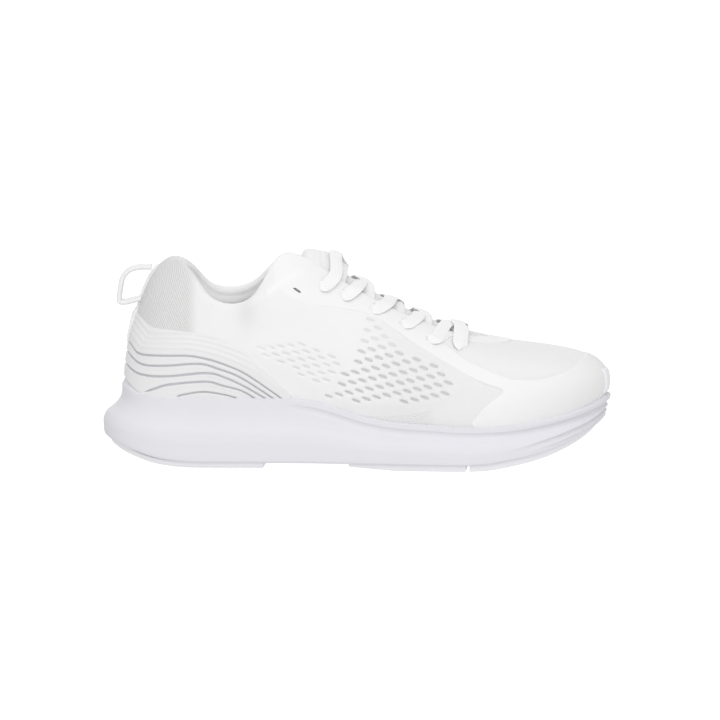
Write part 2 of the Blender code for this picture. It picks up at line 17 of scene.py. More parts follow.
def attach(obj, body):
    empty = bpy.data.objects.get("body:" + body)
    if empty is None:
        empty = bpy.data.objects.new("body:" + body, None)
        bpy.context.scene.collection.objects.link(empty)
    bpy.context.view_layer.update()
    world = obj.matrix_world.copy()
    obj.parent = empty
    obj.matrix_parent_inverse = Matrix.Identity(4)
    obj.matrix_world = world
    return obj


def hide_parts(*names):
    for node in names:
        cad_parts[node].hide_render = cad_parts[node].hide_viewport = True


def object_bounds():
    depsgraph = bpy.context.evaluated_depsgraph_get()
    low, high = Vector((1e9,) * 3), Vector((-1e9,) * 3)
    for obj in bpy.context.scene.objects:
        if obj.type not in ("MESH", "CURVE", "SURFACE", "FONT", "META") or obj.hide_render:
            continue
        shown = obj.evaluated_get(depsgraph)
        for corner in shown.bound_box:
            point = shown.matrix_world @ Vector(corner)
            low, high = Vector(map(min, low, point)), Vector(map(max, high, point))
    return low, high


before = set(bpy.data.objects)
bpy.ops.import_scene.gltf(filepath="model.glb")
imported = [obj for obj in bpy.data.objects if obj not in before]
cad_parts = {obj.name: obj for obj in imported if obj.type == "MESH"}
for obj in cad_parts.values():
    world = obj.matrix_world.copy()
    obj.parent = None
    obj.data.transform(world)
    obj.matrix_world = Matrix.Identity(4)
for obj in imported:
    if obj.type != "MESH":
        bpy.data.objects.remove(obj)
CAD_BOX = [[float(c) for c in corner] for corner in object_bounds()]
MM = 0.001


# ------------------------------------------------------------------ the upper's surface

# Stations round the outer half, heel to toe: widest outline x, y; inset of the upper's foot;
# top edge x, y, z; then the outward and upward reach of the lower and of the upper rib handle.
STATIONS = np.array([
    (-145.3, 0.0, 12.4, -107.0, 0.0, 116.8, 0.0, 27.0, 19.0, -6.5),
    (-138.0, -20.5, 10.0, -102.0, -14.5, 117.0, 0.0, 28.0, 10.5, -9.0),
    (-119.0, -33.0, 8.5, -92.8, -23.5, 109.0, 2.5, 26.0, 6.0, -15.0),
    (-92.0, -37.0, 8.0, -81.5, -28.5, 95.0, 4.0, 22.0, 4.0, -20.0),
    (-62.0, -38.0, 8.0, -60.5, -29.3, 98.0, 5.0, 24.0, 7.0, -22.0),
    (-32.0, -39.0, 8.0, -43.5, -24.5, 123.8, 5.0, 28.0, 12.0, -28.0),
    (-2.0, -42.3, 8.0, -18.5, -18.5, 114.0, 6.0, 29.0, 16.0, -26.0),
    (27.0, -46.5, 8.0, 8.0, -15.5, 97.0, 7.0, 27.0, 17.0, -18.0),
    (56.0, -49.3, 8.0, 31.0, -13.5, 84.5, 8.0, 23.0, 18.0, -10.0),
    (84.0, -47.0, 8.0, 50.0, -11.5, 76.8, 10.0, 25.0, 21.0, -7.0),
    (109.0, -38.0, 7.5, 61.5, -8.5, 73.8, 13.0, 31.0, 28.0, -8.0),
    (129.5, -21.5, 6.0, 67.0, -4.5, 72.8, 18.0, 38.0, 35.0, -9.0),
    (141.0, 5.0, 4.0, 69.0, 0.0, 72.4, 22.0, 41.0, 37.0, -9.0),
])
# Widest outline of the inner half, from next to the toe back to next to the heel.
INNER_OUTLINE = [(134, 27), (114, 40.5), (90, 47.6), (62, 49), (33, 45), (4, 39), (-27, 35.5), (-58, 35),
                 (-90, 35.8), (-118.5, 32.5), (-138, 20.5)]
TOE = len(STATIONS) - 1
COUNT = 2 * TOE
INNER_COLLAR_RISE, INNER_PLATEAU_DROP = 3.2, 6.0

# Heights along x: footbed floor and top of the midsole rim.
FLOOR = [(-146, 31), (-60, 31), (-20, 27.5), (24, 20), (61, 17.5), (85, 18.5), (105, 21.5), (122, 25.5),
         (142, 31)]
RIM = [(-146, 53), (-134, 52), (-129, 47.5), (-121, 42.2), (-105, 40.4), (-43, 40.2), (-27, 38.6),
       (-12, 34.8), (4, 30), (24, 27), (44, 26), (61, 25), (83, 25.7), (103.5, 28.3), (120, 31.7),
       (133, 35.4), (146, 41)]
# How far the rim's lip goes down, and the height of the foam's underside, along x.
LIP_DROP = [(-146, 7.0), (-134, 6.5), (-127, 3.2), (-118, 0.6), (-105, 0.6), (146, 0.6)]
UNDERSIDE = [(-146, 21), (-140.5, 15.6), (-127, 9.3), (-113.7, 5.4), (-100, 3.8), (-90, 3.5), (-60, 3.5),
             (0, 3.5), (60, 3.5), (72, 4), (87, 6.4), (102, 9.6), (122, 17), (132, 22.5), (142, 30)]


def height(table, x):
    """Smooth curve through the (x, height) points of a table, level where the table is level."""
    xs, hs = np.array(table, float).T
    x = np.clip(np.asarray(x, float), xs[0], xs[-1])
    chords = np.diff(hs) / np.diff(xs)
    before, after = np.append(chords[0], chords), np.append(chords, chords[-1])
    turning = before * after <= 0
    slope = np.where(turning, 0, 2 * before * after / np.where(turning, 1, before + after))
    i = np.clip(np.searchsorted(xs, x, side="right") - 1, 0, len(xs) - 2)
    step = xs[i + 1] - xs[i]
    t = (x - xs[i]) / step
    rise = hs[i] * (1 + 2 * t) * (1 - t) ** 2 + hs[i + 1] * t * t * (3 - 2 * t)
    return rise + step * (slope[i] * t * (1 - t) ** 2 - slope[i + 1] * t * t * (1 - t))


def controls_through(points):
    """Control points of the closed cubic spline that passes through the given points."""
    row = np.zeros(len(points))
    row[[0, 1, -1]] = (4, 1, 1)
    system = np.array([np.roll(row, i) for i in range(len(points))]) / 6
    return np.linalg.solve(system, np.asarray(points, float))


def along(controls, u):
    """Point of a closed cubic spline at u, which runs from 0 to 1 round it."""
    s = (np.asarray(u, float) % 1.0) * len(controls)
    i = np.floor(s).astype(int)
    f = s - i
    weights = [(1 - f) ** 3, 3 * f**3 - 6 * f**2 + 4, -3 * f**3 + 3 * f**2 + 3 * f + 1, f**3]
    return sum(w[..., None] * controls[(i - 1 + k) % len(controls)] for k, w in enumerate(weights)) / 6


def station_rows():
    """The station table for the whole turn, with the inner half mirrored and on its own outline."""
    inner = STATIONS[1:-1][::-1].copy()
    inner[:, 4] *= -1
    inner[-4:-2, 5] += INNER_COLLAR_RISE
    inner[-5, 5] -= INNER_PLATEAU_DROP
    inner[:, 0:2] = INNER_OUTLINE
    return np.vstack([STATIONS, inner])


ROWS = station_rows()
OUTLINE = controls_through(ROWS[:, 0:2])
CAD_GAP = 0.35  # the CAD keeps this much between the upper and the footbed, and under the foam


def unit(vectors):
    """The vectors with a length of 1."""
    return vectors / np.linalg.norm(vectors, axis=-1, keepdims=True)


def outward(u):
    """Unit vector in plan, square to the outline and away from the foot."""
    du = 1e-4
    tangent = unit(along(OUTLINE, u + du) - along(OUTLINE, u - du))
    return np.stack([tangent[..., 1], -tangent[..., 0]], axis=-1)


def rib_controls():
    """Control nets of the four rows of rib points: foot, two handles and top."""
    out = outward(np.arange(COUNT) / COUNT)
    foot_plan = ROWS[:, 0:2] - out * ROWS[:, 2:3]
    foot = np.column_stack([foot_plan, height(FLOOR, foot_plan[:, 0]) + CAD_GAP])
    top = ROWS[:, 3:6]
    side = np.column_stack([-out[:, 1], out[:, 0]])
    lean = side * np.sum((top[:, :2] - foot[:, :2]) * side, axis=1, keepdims=True) / 3
    low = foot + np.column_stack([out * ROWS[:, 6:7] + lean, ROWS[:, 7]])
    high = top + np.column_stack([out * ROWS[:, 8:9] - lean, ROWS[:, 9]])
    return [controls_through(row) for row in (foot, low, high, top)]


RIBS = rib_controls()


def surface(u, v):
    """Point of the upper's outer surface."""
    u, v = np.broadcast_arrays(np.asarray(u, float), np.asarray(v, float))
    foot, low, high, top = (along(row, u) for row in RIBS)
    v = v[..., None]
    return foot * (1 - v) ** 3 + 3 * low * v * (1 - v) ** 2 + 3 * high * v * v * (1 - v) + top * v**3


def normal_at(u, v):
    """Outward unit normal of the upper's surface."""
    step = 2e-3
    across = surface(u + step, v) - surface(u - step, v)
    up = surface(u, np.minimum(v + step, 1)) - surface(u, np.maximum(np.minimum(v, 1) - step, 0))
    return unit(np.cross(across, up))


def layer(u, v, depth):
    """Point at a depth under the outer surface; a negative depth is outside it."""
    return surface(u, v) - normal_at(u, v) * np.asarray(depth, float)[..., None]


def columns(function, us):
    return np.array([function(u) for u in us])


def v_at(u, z):
    """Place along the rib at u where the surface reaches the height z."""
    steps = np.linspace(0, 1, 400)
    return float(np.interp(z, surface(u, steps)[:, 2], steps))


def v_rim(u, above=0.0):
    """Place along the rib at u that is level with the midsole's rim, or above it."""
    v = 0.2
    for _ in range(8):
        v = v_at(u, height(RIM, surface(u, v)[0]) + above)
    return v


def v_on_line(u, line, start=0.1):
    """Place along the rib at u where it crosses a line of (x, height) points, coming from below."""
    steps = np.linspace(start, 1, 400)
    points = surface(u, steps)
    above = points[:, 2] - height(line, points[:, 0])
    first = int(np.argmax(above > 0))
    if above[first] <= 0:
        return 1.0
    if first == 0:
        return start
    share = above[first - 1] / (above[first - 1] - above[first])
    return float(steps[first - 1] + (steps[first] - steps[first - 1]) * share)


def u_at(x, v=None):
    """Place on the outer half where the outline, or the surface at v, has this x."""
    steps = np.linspace(0.0, 0.5, 800)
    xs = along(OUTLINE, steps)[:, 0] if v is None else surface(steps, v)[:, 0]
    return float(np.interp(x, xs, steps))


def turn_at(u):
    """Stations from the heel's centre, the same on both halves."""
    u = np.asarray(u, float) % 1
    return np.minimum(u, 1 - u) * COUNT


GUESS_U, GUESS_V = (grid.ravel() for grid in
                    np.meshgrid(np.linspace(0.004, 0.496, 160), np.linspace(0, 1, 60), indexing="ij"))
GUESS = surface(GUESS_U, GUESS_V)[:, [0, 2]]


def uv_of(points):
    """(u, v) on the outer half of side-view points (x, z)."""
    points = np.asarray(points, float)
    best = np.sum((GUESS[None] - points[:, None]) ** 2, -1).argmin(1)
    u, v = GUESS_U[best], GUESS_V[best]
    for _ in range(12):
        here, step = surface(u, v), 1e-4
        du = (surface(u + step, v) - here)[:, [0, 2]] / step
        dv = (surface(u, v + step) - here)[:, [0, 2]] / step
        off = points - here[:, [0, 2]]
        det = du[:, 0] * dv[:, 1] - du[:, 1] * dv[:, 0]
        det = np.where(np.abs(det) < 1e-6, 1e-6, det)
        u = u + np.clip((off[:, 0] * dv[:, 1] - off[:, 1] * dv[:, 0]) / det, -0.02, 0.02)
        v = v + np.clip((du[:, 0] * off[:, 1] - du[:, 1] * off[:, 0]) / det, -0.05, 0.05)
        u, v = np.clip(u, 0.001, 0.499), np.clip(v, 0, 1.02)
    return np.stack([u, v], axis=-1)


def smooth_route(points, steps):
    """Catmull-Rom curve through the points, of any dimension."""
    points = np.asarray(points, float)
    padded = np.vstack([2 * points[0] - points[1], points, 2 * points[-1] - points[-2]])
    made = []
    for a, b, c, d in zip(padded[:-3], padded[1:-2], padded[2:-1], padded[3:]):
        for t in np.arange(steps) / steps:
            made.append(0.5 * (2 * b + (c - a) * t + (2 * a - 5 * b + 4 * c - d) * t**2
                               + (3 * b - a - 3 * c + d) * t**3))
    return np.array(made + [points[-1]])


def distance_to(line, x, z):
    """Distance from points to a side-view line, and the share of the line's length there."""
    line = np.asarray(line, float)
    lengths = np.linalg.norm(np.diff(line, axis=0), axis=1)
    total, done = lengths.sum(), 0.0
    best, share = np.full(np.shape(x), 1e9), np.zeros(np.shape(x))
    for a, b, length in zip(line[:-1], line[1:], lengths):
        t = np.clip(((x - a[0]) * (b[0] - a[0]) + (z - a[1]) * (b[1] - a[1])) / length**2, 0, 1)
        gap = np.hypot(x - a[0] - t * (b[0] - a[0]), z - a[1] - t * (b[1] - a[1]))
        nearer = gap < best
        best = np.where(nearer, gap, best)
        share = np.where(nearer, (done + t * length) / total, share)
        done += length
    return best, share


def bump_at(value, centre, width):
    """Round bump of height 1."""
    return np.exp(-(((value - centre) / width) ** 2))


def ease(low, high, value):
    """0 below low, 1 above high, smooth between."""
    t = np.clip((np.asarray(value, float) - low) / (high - low), 0, 1)
    return t * t * (3 - 2 * t)


def power_sign(value, power):
    """A power of the size of a value, with its sign kept."""
    return np.sign(value) * np.abs(value) ** power


def closed_route(points):
    """Smooth loop through the points."""
    return smooth_route([*points, points[0]], 5)[:-1]


# ------------------------------------------------------------------ meshes


def grid_faces(rows, cols, close_rows=False, close_cols=False):
    """Quads of a grid of points stored row by row."""
    i = np.arange(rows if close_rows else rows - 1)[:, None]
    k = np.arange(cols if close_cols else cols - 1)[None, :]
    j, m = (i + 1) % rows, (k + 1) % cols
    quads = np.stack(np.broadcast_arrays(i * cols + k, j * cols + k, j * cols + m, i * cols + m), -1)
    return quads.reshape(-1, 4).tolist()


def new_object(name, data):
    made = bpy.data.objects.new(name, data)
    bpy.context.collection.objects.link(made)
    return made


def make_object(name, points, faces, uv=None, values=None):
    """A mesh object from points in millimetres, with doubled points merged and all faces outwards."""
    mesh = bpy.data.meshes.new(name)
    points = np.asarray(points, float).reshape(-1, 3)
    mesh.from_pydata((points * MM).tolist(), [], [list(map(int, f)) for f in faces])
    if uv is not None:
        corners = np.zeros(len(mesh.loops), int)
        mesh.loops.foreach_get("vertex_index", corners)
        flat = np.asarray(uv, float).reshape(-1, 2)[corners]
        mesh.uv_layers.new(name="cloth").data.foreach_set("uv", flat.astype(np.float32).ravel())
    for key, numbers in (values or {}).items():
        held = mesh.attributes.new(key, "FLOAT", "POINT")
        held.data.foreach_set("value", np.asarray(numbers, np.float32).ravel())
    bm = bmesh.new()
    bm.from_mesh(mesh)
    bmesh.ops.remove_doubles(bm, verts=bm.verts, dist=1e-7)
    bmesh.ops.recalc_face_normals(bm, faces=bm.faces)
    bm.to_mesh(mesh)
    bm.free()
    return new_object(name, mesh)


def add_piece(name, points, faces, look, body="shoe", uv=None, values=None, sharp=None):
    """A visible piece. uv is a texture place in mm and values are named numbers, at each point."""
    made = make_object(name, points, faces, uv, values)
    made.data.shade_smooth()
    if sharp:
        made.data.set_sharp_from_angle(angle=math.radians(sharp))
    made.data.materials.append(look)
    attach(made, body)
    return made


def round_loop(outer, inner):
    """Two equal grids of a band's sides as one that runs up the outer side and down the inner one."""
    return np.concatenate([outer, inner[:, ::-1]], 1)


def add_band(name, outer, inner, look, uv=None, values=None, **settings):
    """A solid piece between two equal grids of points; the inner one takes the outer's uv and values."""
    turns, steps = outer.shape[:2]
    faces = grid_faces(turns, 2 * steps, False, True)
    for start in (0, (turns - 1) * 2 * steps):
        for k in range(steps - 1):
            faces.append([start + k, start + k + 1, start + 2 * steps - 2 - k, start + 2 * steps - 1 - k])
    uv = None if uv is None else round_loop(uv, uv)
    values = {key: round_loop(field, field) for key, field in (values or {}).items()}
    return add_piece(name, round_loop(outer, inner), faces, look, uv=uv, values=values, **settings)


def arc_lengths(points, axis):
    """Running length along one axis of a grid of points."""
    steps = np.linalg.norm(np.diff(points, axis=axis), axis=-1)
    start = np.zeros_like(np.take(steps, [0], axis))
    return np.concatenate([start, np.cumsum(steps, axis=axis)], axis=axis)


def cloth_uv(us, vs):
    """Texture place in mm of (u, v) points: round the shoe at mid height, and up the rib."""
    ribs, marks, reach = 96, 100, 1.1
    ring = np.linspace(-0.25, 1.25, 1501)
    run = arc_lengths(surface(ring, 0.35), 0)
    run = run - np.interp(0, ring, run)
    rise = np.linspace(0, reach, round(reach * marks) + 1)
    ladder = arc_lengths(surface(np.linspace(0, 1, ribs + 1)[:, None], rise[None, :]), 1)
    us, vs = np.asarray(us, float), np.asarray(vs, float)
    column = np.clip((us % 1.0) * ribs, 0, ribs - 0.001)
    low = column.astype(int)
    part = column - low
    place = np.clip(vs, 0, reach - 0.0001) * marks
    cell = place.astype(int)
    rest = place - cell
    first = ladder[low, cell] * (1 - rest) + ladder[low, cell + 1] * rest
    second = ladder[low + 1, cell] * (1 - rest) + ladder[low + 1, cell + 1] * rest
    return np.stack([np.interp(us, ring, run), first * (1 - part) + second * part], axis=-1)


# ------------------------------------------------------------------ materials


def feed(socket, value):
    """Sets a socket to a constant, or links a node's output to it."""
    if isinstance(value, Number):
        value = value.socket
    if isinstance(value, bpy.types.NodeSocket):
        socket.id_data.links.new(value, socket)
    else:
        socket.default_value = value


def set_inputs(inputs, settings):
    """Sets a node's inputs to constants by their names."""
    for key, value in settings.items():
        inputs[key].default_value = value


def maths(operation, *values, clamp=False):
    """A math node; at least one of its values is a Number."""
    tree = next(value for value in values if isinstance(value, Number)).socket.id_data
    node = tree.nodes.new("ShaderNodeMath")
    node.operation, node.use_clamp = operation, clamp
    for socket, value in zip(node.inputs, values):
        feed(socket, value)
    return Number(node.outputs[0])


class Number:
    """A number that a node puts out; arithmetic with it adds math nodes."""

    def __init__(self, socket):
        self.socket = socket

    def __add__(self, other):
        return maths("ADD", self, other)

    def __mul__(self, other):
        return maths("MULTIPLY", self, other)

    def __sub__(self, other):
        return maths("SUBTRACT", self, other)

    def __rsub__(self, other):
        return maths("SUBTRACT", other, self)


def clamped(number):
    """The number kept between 0 and 1."""
    return maths("ADD", number, 0.0, clamp=True)


def blend(first, second, share):
    """Number between two numbers."""
    return (second - first) * share + first


def wave(place, pitch):
    """Wave from 0 to 1 of this pitch."""
    return maths("COSINE", place * (2 * math.pi / pitch)) * 0.5 + 0.5


def knit(across, up, wale, course):
    """Height of a knit: V-shaped stitches in columns."""
    part = maths("FRACT", maths("DIVIDE", across, wale))
    side = maths("ABSOLUTE", part * 2.0 - 1.0)
    return wave(side * (course * 0.85) + up, course) * (1.0 - maths("POWER", side, 5.0))


def weave(across, up, pitch):
    """Height of a plain weave."""
    first, second = (maths("SINE", place * (math.pi / pitch)) for place in (across, up))
    return first * second * 0.5 + 0.5


def mesh_holes(across, up, pitch):
    """1 between the holes of a staggered mesh and 0 in them."""
    half = across * (math.pi / pitch)
    tilt = up * (math.pi * math.sqrt(3) / pitch)
    total = maths("COSINE", across * (2 * math.pi / pitch))
    for turn in (half + tilt, half - tilt):
        total = total + maths("COSINE", turn)
    return 1.0 - clamped(total * 1.1 - 1.45)


class Look:
    """A node material, with short calls for its nodes. Sizes in it are millimetres."""

    def __init__(self, name, roughness, specular, sheen=0.0, coat=0.0):
        self.material = bpy.data.materials.new(name)
        self.material.use_nodes = True
        self.nodes = self.material.node_tree.nodes
        self.inputs = self.nodes["Principled BSDF"].inputs
        set_inputs(self.inputs, {"Roughness": roughness, "Specular IOR Level": specular,
                                 "Sheen Weight": sheen, "Sheen Roughness": 0.6,
                                 "Coat Weight": coat, "Coat Roughness": 0.35})

    def cloth(self):
        """The piece's own texture place in mm, as two numbers."""
        place, parts = self.nodes.new("ShaderNodeUVMap"), self.nodes.new("ShaderNodeSeparateXYZ")
        place.uv_map = "cloth"
        feed(parts.inputs[0], place.outputs["UV"])
        return Number(parts.outputs[0]), Number(parts.outputs[1])

    def value(self, key):
        """A number stored at the points of the piece."""
        made = self.nodes.new("ShaderNodeAttribute")
        made.attribute_name = key
        return Number(made.outputs["Fac"])

    def texture(self, kind, size):
        """A solid texture node with features of about this size."""
        made = self.nodes.new(kind)
        feed(made.inputs["Vector"], self.nodes.new("ShaderNodeTexCoord").outputs["Object"])
        made.inputs["Scale"].default_value = 1 / (size * MM)
        return made

    def noise(self, size, detail=2.0, roughness=0.5):
        made = self.texture("ShaderNodeTexNoise", size)
        set_inputs(made.inputs, {"Detail": detail, "Roughness": roughness})
        return Number(made.outputs["Fac"])

    def cells(self, size):
        made = self.texture("ShaderNodeTexVoronoi", size)
        made.feature = "SMOOTH_F1"
        return Number(made.outputs["Distance"])

    def mix(self, low, high, share):
        """Colour from low to high; each is a colour or a socket."""
        made = self.nodes.new("ShaderNodeMix")
        made.data_type = "RGBA"
        for number, value in ((0, share), (6, low), (7, high)):
            feed(made.inputs[number], (*value, 1) if isinstance(value, tuple) else value)
        return made.outputs[2]

    def colour(self, low, high, share):
        """Base colour from low to high."""
        feed(self.inputs["Base Color"], self.mix(low, high, share))

    def bump(self, raised, distance, strength):
        """Raises the surface by this height, up to distance, and hands over the finished material."""
        made = self.nodes.new("ShaderNodeBump")
        set_inputs(made.inputs, {"Strength": strength, "Distance": distance * MM})
        feed(made.inputs["Height"], raised)
        feed(self.inputs["Normal"], made.outputs["Normal"])
        return self.material


def grey(level):
    return (level, level, level)


# The third grey is a darker knit underlay that also stands for painted shade: in the lattice slots, on the
# heel's rear and towards the front.
CLOTH, CLOTH_DEEP, UNDERLAY_AND_SHADE = grey(0.88), grey(0.82), (0.63, 0.63, 0.64)
FILM_WHITE, FILM_DEEP = (0.865, 0.861, 0.861), (0.832, 0.828, 0.829)
HEEL_WHITE, HEEL_DEEP = (0.80, 0.799, 0.805), (0.765, 0.764, 0.77)
FOAM_WHITE, FOAM_DEEP = (0.765, 0.757, 0.797), (0.725, 0.717, 0.76)
RUBBER_WHITE, RUBBER_DEEP = (0.90, 0.895, 0.925), (0.85, 0.845, 0.875)
# The first colour is a painted highlight along the seam ridge and the rolled top edge; the second is painted
# shade in the heel film's grooves.
PAINTED_HIGHLIGHT_WHITE, GROOVE_SHADE_GREY = grey(0.975), (0.68, 0.675, 0.70)


def quarter_look(name, lean):
    """Fine knit; its hatched part has slanted lines that rise towards the toe, by the sign of lean."""
    look = Look(name, 0.85, 0.25, sheen=0.25)
    across, up = look.cloth()
    fine, hatched = knit(across, up, 0.95, 0.8), look.value("hatch")
    hatch = wave(across * (-0.46 * lean) + up, 1.3)
    raised = blend(fine, mesh_holes(across, up, 1.5) * fine, look.value("open"))
    shade = look.noise(0.35, 3.0) * 0.35 + blend(raised, hatch, hatched) * 0.65
    lit = blend(clamped(shade * 0.75 + 0.3), hatch * 1.6 - 0.8, hatched)
    cloth = look.mix(look.mix(CLOTH_DEEP, CLOTH, lit), PAINTED_HIGHLIGHT_WHITE, look.value("mark"))
    look.colour(cloth, UNDERLAY_AND_SHADE, look.value("underlay_and_shade"))
    return look.bump(shade * (hatched * 0.75 + 0.25), 0.4, 0.8)


def heel_knit_look():
    look = Look("heel_knit", 0.88, 0.2, sheen=0.35)
    across, up = look.cloth()
    fine, ribbed = knit(across, up, 1.0, 0.8), look.value("ribs")
    ribs = wave(up * 0.85 + maths("ABSOLUTE", across), 1.5)
    shade = look.noise(0.3, 3.0) * 0.3 + blend(fine, ribs * 0.8 + fine * 0.2, ribbed) * 0.7
    plain = look.mix(CLOTH_DEEP, CLOTH, clamped(shade * 0.75 + 0.3))
    # Painted shade in the valleys of the ribs.
    rib_valley_shade = look.mix(grey(0.60), grey(0.86), shade)
    cloth = look.mix(look.mix(plain, rib_valley_shade, ribbed), PAINTED_HIGHLIGHT_WHITE, look.value("mark") * 0.5)
    look.colour(cloth, UNDERLAY_AND_SHADE, look.value("underlay_and_shade"))
    return look.bump(shade * (ribbed * 0.75 + 0.25), 0.4, 0.9)


def vamp_look():
    look = Look("vamp_mesh", 0.85, 0.25, sheen=0.25)
    across, up = look.cloth()
    raised = weave(across, up, 0.32) * 0.25 + mesh_holes(across, up, 1.25) * 0.75
    mesh = look.mix((0.75, 0.75, 0.755), grey(0.845), clamped(raised * 0.8 + 0.25))
    look.colour(mesh, UNDERLAY_AND_SHADE, look.value("underlay_and_shade"))
    return look.bump(raised, 0.1, 0.6)


def lining_look(name, low=grey(0.94), high=grey(0.985)):
    look = Look(name, 0.95, 0.15, sheen=0.2)
    raised = look.noise(0.45, 4.0, 0.65) * 0.6 + knit(*look.cloth(), 0.75, 0.6) * 0.4
    look.colour(low, high, raised)
    return look.bump(raised, 0.1, 0.5)


def film_look(name, roughness, low=FILM_DEEP, high=FILM_WHITE, painted_light_colour=PAINTED_HIGHLIGHT_WHITE):
    look = Look(name, roughness, 0.3, coat=0.04)
    grain = look.noise(0.22)
    raised = grain * 0.5 + knit(*look.cloth(), 0.95, 0.8) * 0.35
    shade = look.mix(low, high, clamped(look.noise(7.0, 3.0) * 0.6 + raised * 0.6))
    # The stored marks paint light: a highlight along the seam, or painted shade in the heel film's grooves.
    look.colour(shade, painted_light_colour, look.value("mark"))
    feed(look.inputs["Roughness"], grain * 0.16 + (roughness - 0.08))
    return look.bump(raised, 0.06, 0.6)


def foam_look():
    look = Look("midsole_foam", 0.6, 0.35)
    skin = look.noise(0.35, 3.0, 0.6)
    raised = look.cells(0.55) * 0.45 + skin * 0.55
    look.colour(FOAM_DEEP, FOAM_WHITE, clamped(raised * 0.7 + look.noise(16.0, 3.0) * 0.45))
    feed(look.inputs["Roughness"], skin * 0.2 + 0.5)
    return look.bump(raised, 0.07, 0.7)


def rubber_look(name):
    look = Look(name, 0.5, 0.45)
    grain, scuffs = look.noise(0.28, 3.0, 0.6), look.noise(5.0, 5.0, 0.7)
    look.colour(RUBBER_DEEP, RUBBER_WHITE, clamped(grain * 0.4 + scuffs * 0.75))
    feed(look.inputs["Roughness"], scuffs * 0.3 + 0.38)
    return look.bump(grain, 0.06, 0.7)


def webbing_look(name, rib):
    """Ribs across a tape, with fine yarn in them."""
    look = Look(name, 0.8, 0.25, sheen=0.3)
    across, up = look.cloth()
    raised = wave(up, rib) * 0.5 + weave(across, up, 0.45) * 0.3 + look.noise(0.25, 3.0) * 0.2
    look.colour(grey(0.74), grey(0.90), clamped(raised * 0.9 + 0.15))
    return look.bump(raised, 0.12, 0.8)


def lace_look():
    """Flat braid: two sets of slanted yarns that cross."""
    look = Look("lace_braid", 0.82, 0.25, sheen=0.3)
    across, up = look.cloth()
    braid = maths("MAXIMUM", wave(across * 0.8 + up, 1.15), wave(across * -0.8 + up, 1.15))
    raised = braid * 0.55 + wave(across, 1.6) * 0.25 + look.noise(0.22, 3.0) * 0.2
    look.colour(grey(0.79), grey(0.92), clamped(raised * 0.95 + 0.1))
    return look.bump(raised, 0.13, 0.8)


def tongue_look():
    look = Look("tongue_knit", 0.88, 0.2, sheen=0.35)
    across, up = look.cloth()
    raised = mesh_holes(across, up, 2.3) * 0.5 + knit(across, up, 1.15, 0.95) * 0.5
    look.colour(CLOTH_DEEP, CLOTH, raised)
    return look.bump(raised, 0.14, 0.8)


def plain_look(name, roughness, specular, sheen, noise, low, high, bump):
    """A fibrous material whose one noise makes both its colour and its relief."""
    look = Look(name, roughness, specular, sheen)
    fuzz = look.noise(*noise)
    look.colour(low, high, fuzz)
    return look.bump(fuzz, *bump)


# ------------------------------------------------------------------ upper

SHELL_TOP_V = 0.955
FABRIC = 0.7
COLLAR_FOAM = 6.0
SEAM_BELOW = 6.5  # the knit is folded this far down the inside
LINING_DEPTH, HEEL_EXTRA = 3.5, 0.7  # the lining's face, and how much deeper it lies round the heel
RIB_MM = 110  # about the length of a rib

# Share of the collar foam along a rib.
SWELL = [(0.05, 0), (0.34, 0), (0.46, 0.08), (0.58, 0.25), (0.7, 0.75), (0.8, 1), (0.89, 1), (0.955, 0.72),
         (1, 0.5)]


def fullness(u):
    """Share of the collar's padding: none in front of the ankle, full round the heel."""
    return 1 - ease(3.3, 5.3, turn_at(u))


def inner_depth(u, v):
    """Depth of the lining's face under the outer surface."""
    full = fullness(u)
    return LINING_DEPTH + full * (HEEL_EXTRA + COLLAR_FOAM * height(SWELL, v))


def rib_length(u):
    steps = np.linspace(0, 1, 60)
    return arc_lengths(surface(u, steps), 0)[-1]


def edge_path(u):
    """(v, depth) from the sole up the outside, over the rounded top edge and a little way down the inside."""
    tall = rib_length(u)
    outside = np.concatenate([np.linspace(0.0, 0.12, 5)[:-1], np.linspace(0.12, SHELL_TOP_V, 112)])
    deep = float(inner_depth(u, SHELL_TOP_V))
    angles = np.linspace(0, math.pi, 17)[1:]
    cap_v = SHELL_TOP_V + np.sin(angles) * deep / 2 / tall
    cap_depth = deep / 2 * (1 - np.cos(angles))
    inside = SHELL_TOP_V - np.linspace(0, SEAM_BELOW, 9)[1:] / tall
    path_v = np.concatenate([outside, cap_v, inside])
    path_depth = np.concatenate([np.zeros(len(outside)), cap_depth, inner_depth(u, inside)])
    run = np.stack([path_v * tall, path_depth], -1)
    tangent = unit(np.gradient(run, axis=0))
    inward = run + np.stack([-tangent[:, 1], tangent[:, 0]], -1) * FABRIC
    return path_v, path_depth, inward[:, 0] / tall, inward[:, 1]


# Centre lines and widths of the heel film's grooves in side view, the top one first.
GROOVES = [(smooth_route(line, 5), width) for line, width in (
    ([(-133, 73), (-128, 68), (-123, 63.6), (-110, 63.6), (-96, 64), (-86, 62.5), (-77, 60), (-66, 55.6),
      (-57, 50), (-43, 40)], 0.64),
    ([(-135, 68), (-129, 62.5), (-122, 58), (-109, 58), (-90, 59.6), (-79, 57), (-66, 52),
      (-47.6, 40)], 0.66),
    ([(-136, 61), (-130, 56), (-123, 52.4), (-109, 52), (-86, 54.5), (-75, 52), (-64, 47), (-52, 40)], 0.7),
    ([(-121, 42.3), (-115, 44.7), (-106, 47.6), (-86, 49.6), (-77, 47.6), (-66, 44.7), (-58, 40)], 0.7),
    ([(-103, 40.9), (-94, 43), (-86, 43.8), (-76, 42.4), (-69, 40.7)], 0.58),
)]
TOP_GROOVE = GROOVES[0][0]
TOPLINE_SEAM = smooth_route([(-62, 93.5), (-54, 98), (-46, 103.5), (-38, 108.5), (-29, 112.5)], 4)


def hollow_at(points):
    """Depth of the soft hollow behind the eyelets."""
    return 0.6 * bump_at(points[..., 0], -34, 15) * bump_at(points[..., 2], 82, 10)


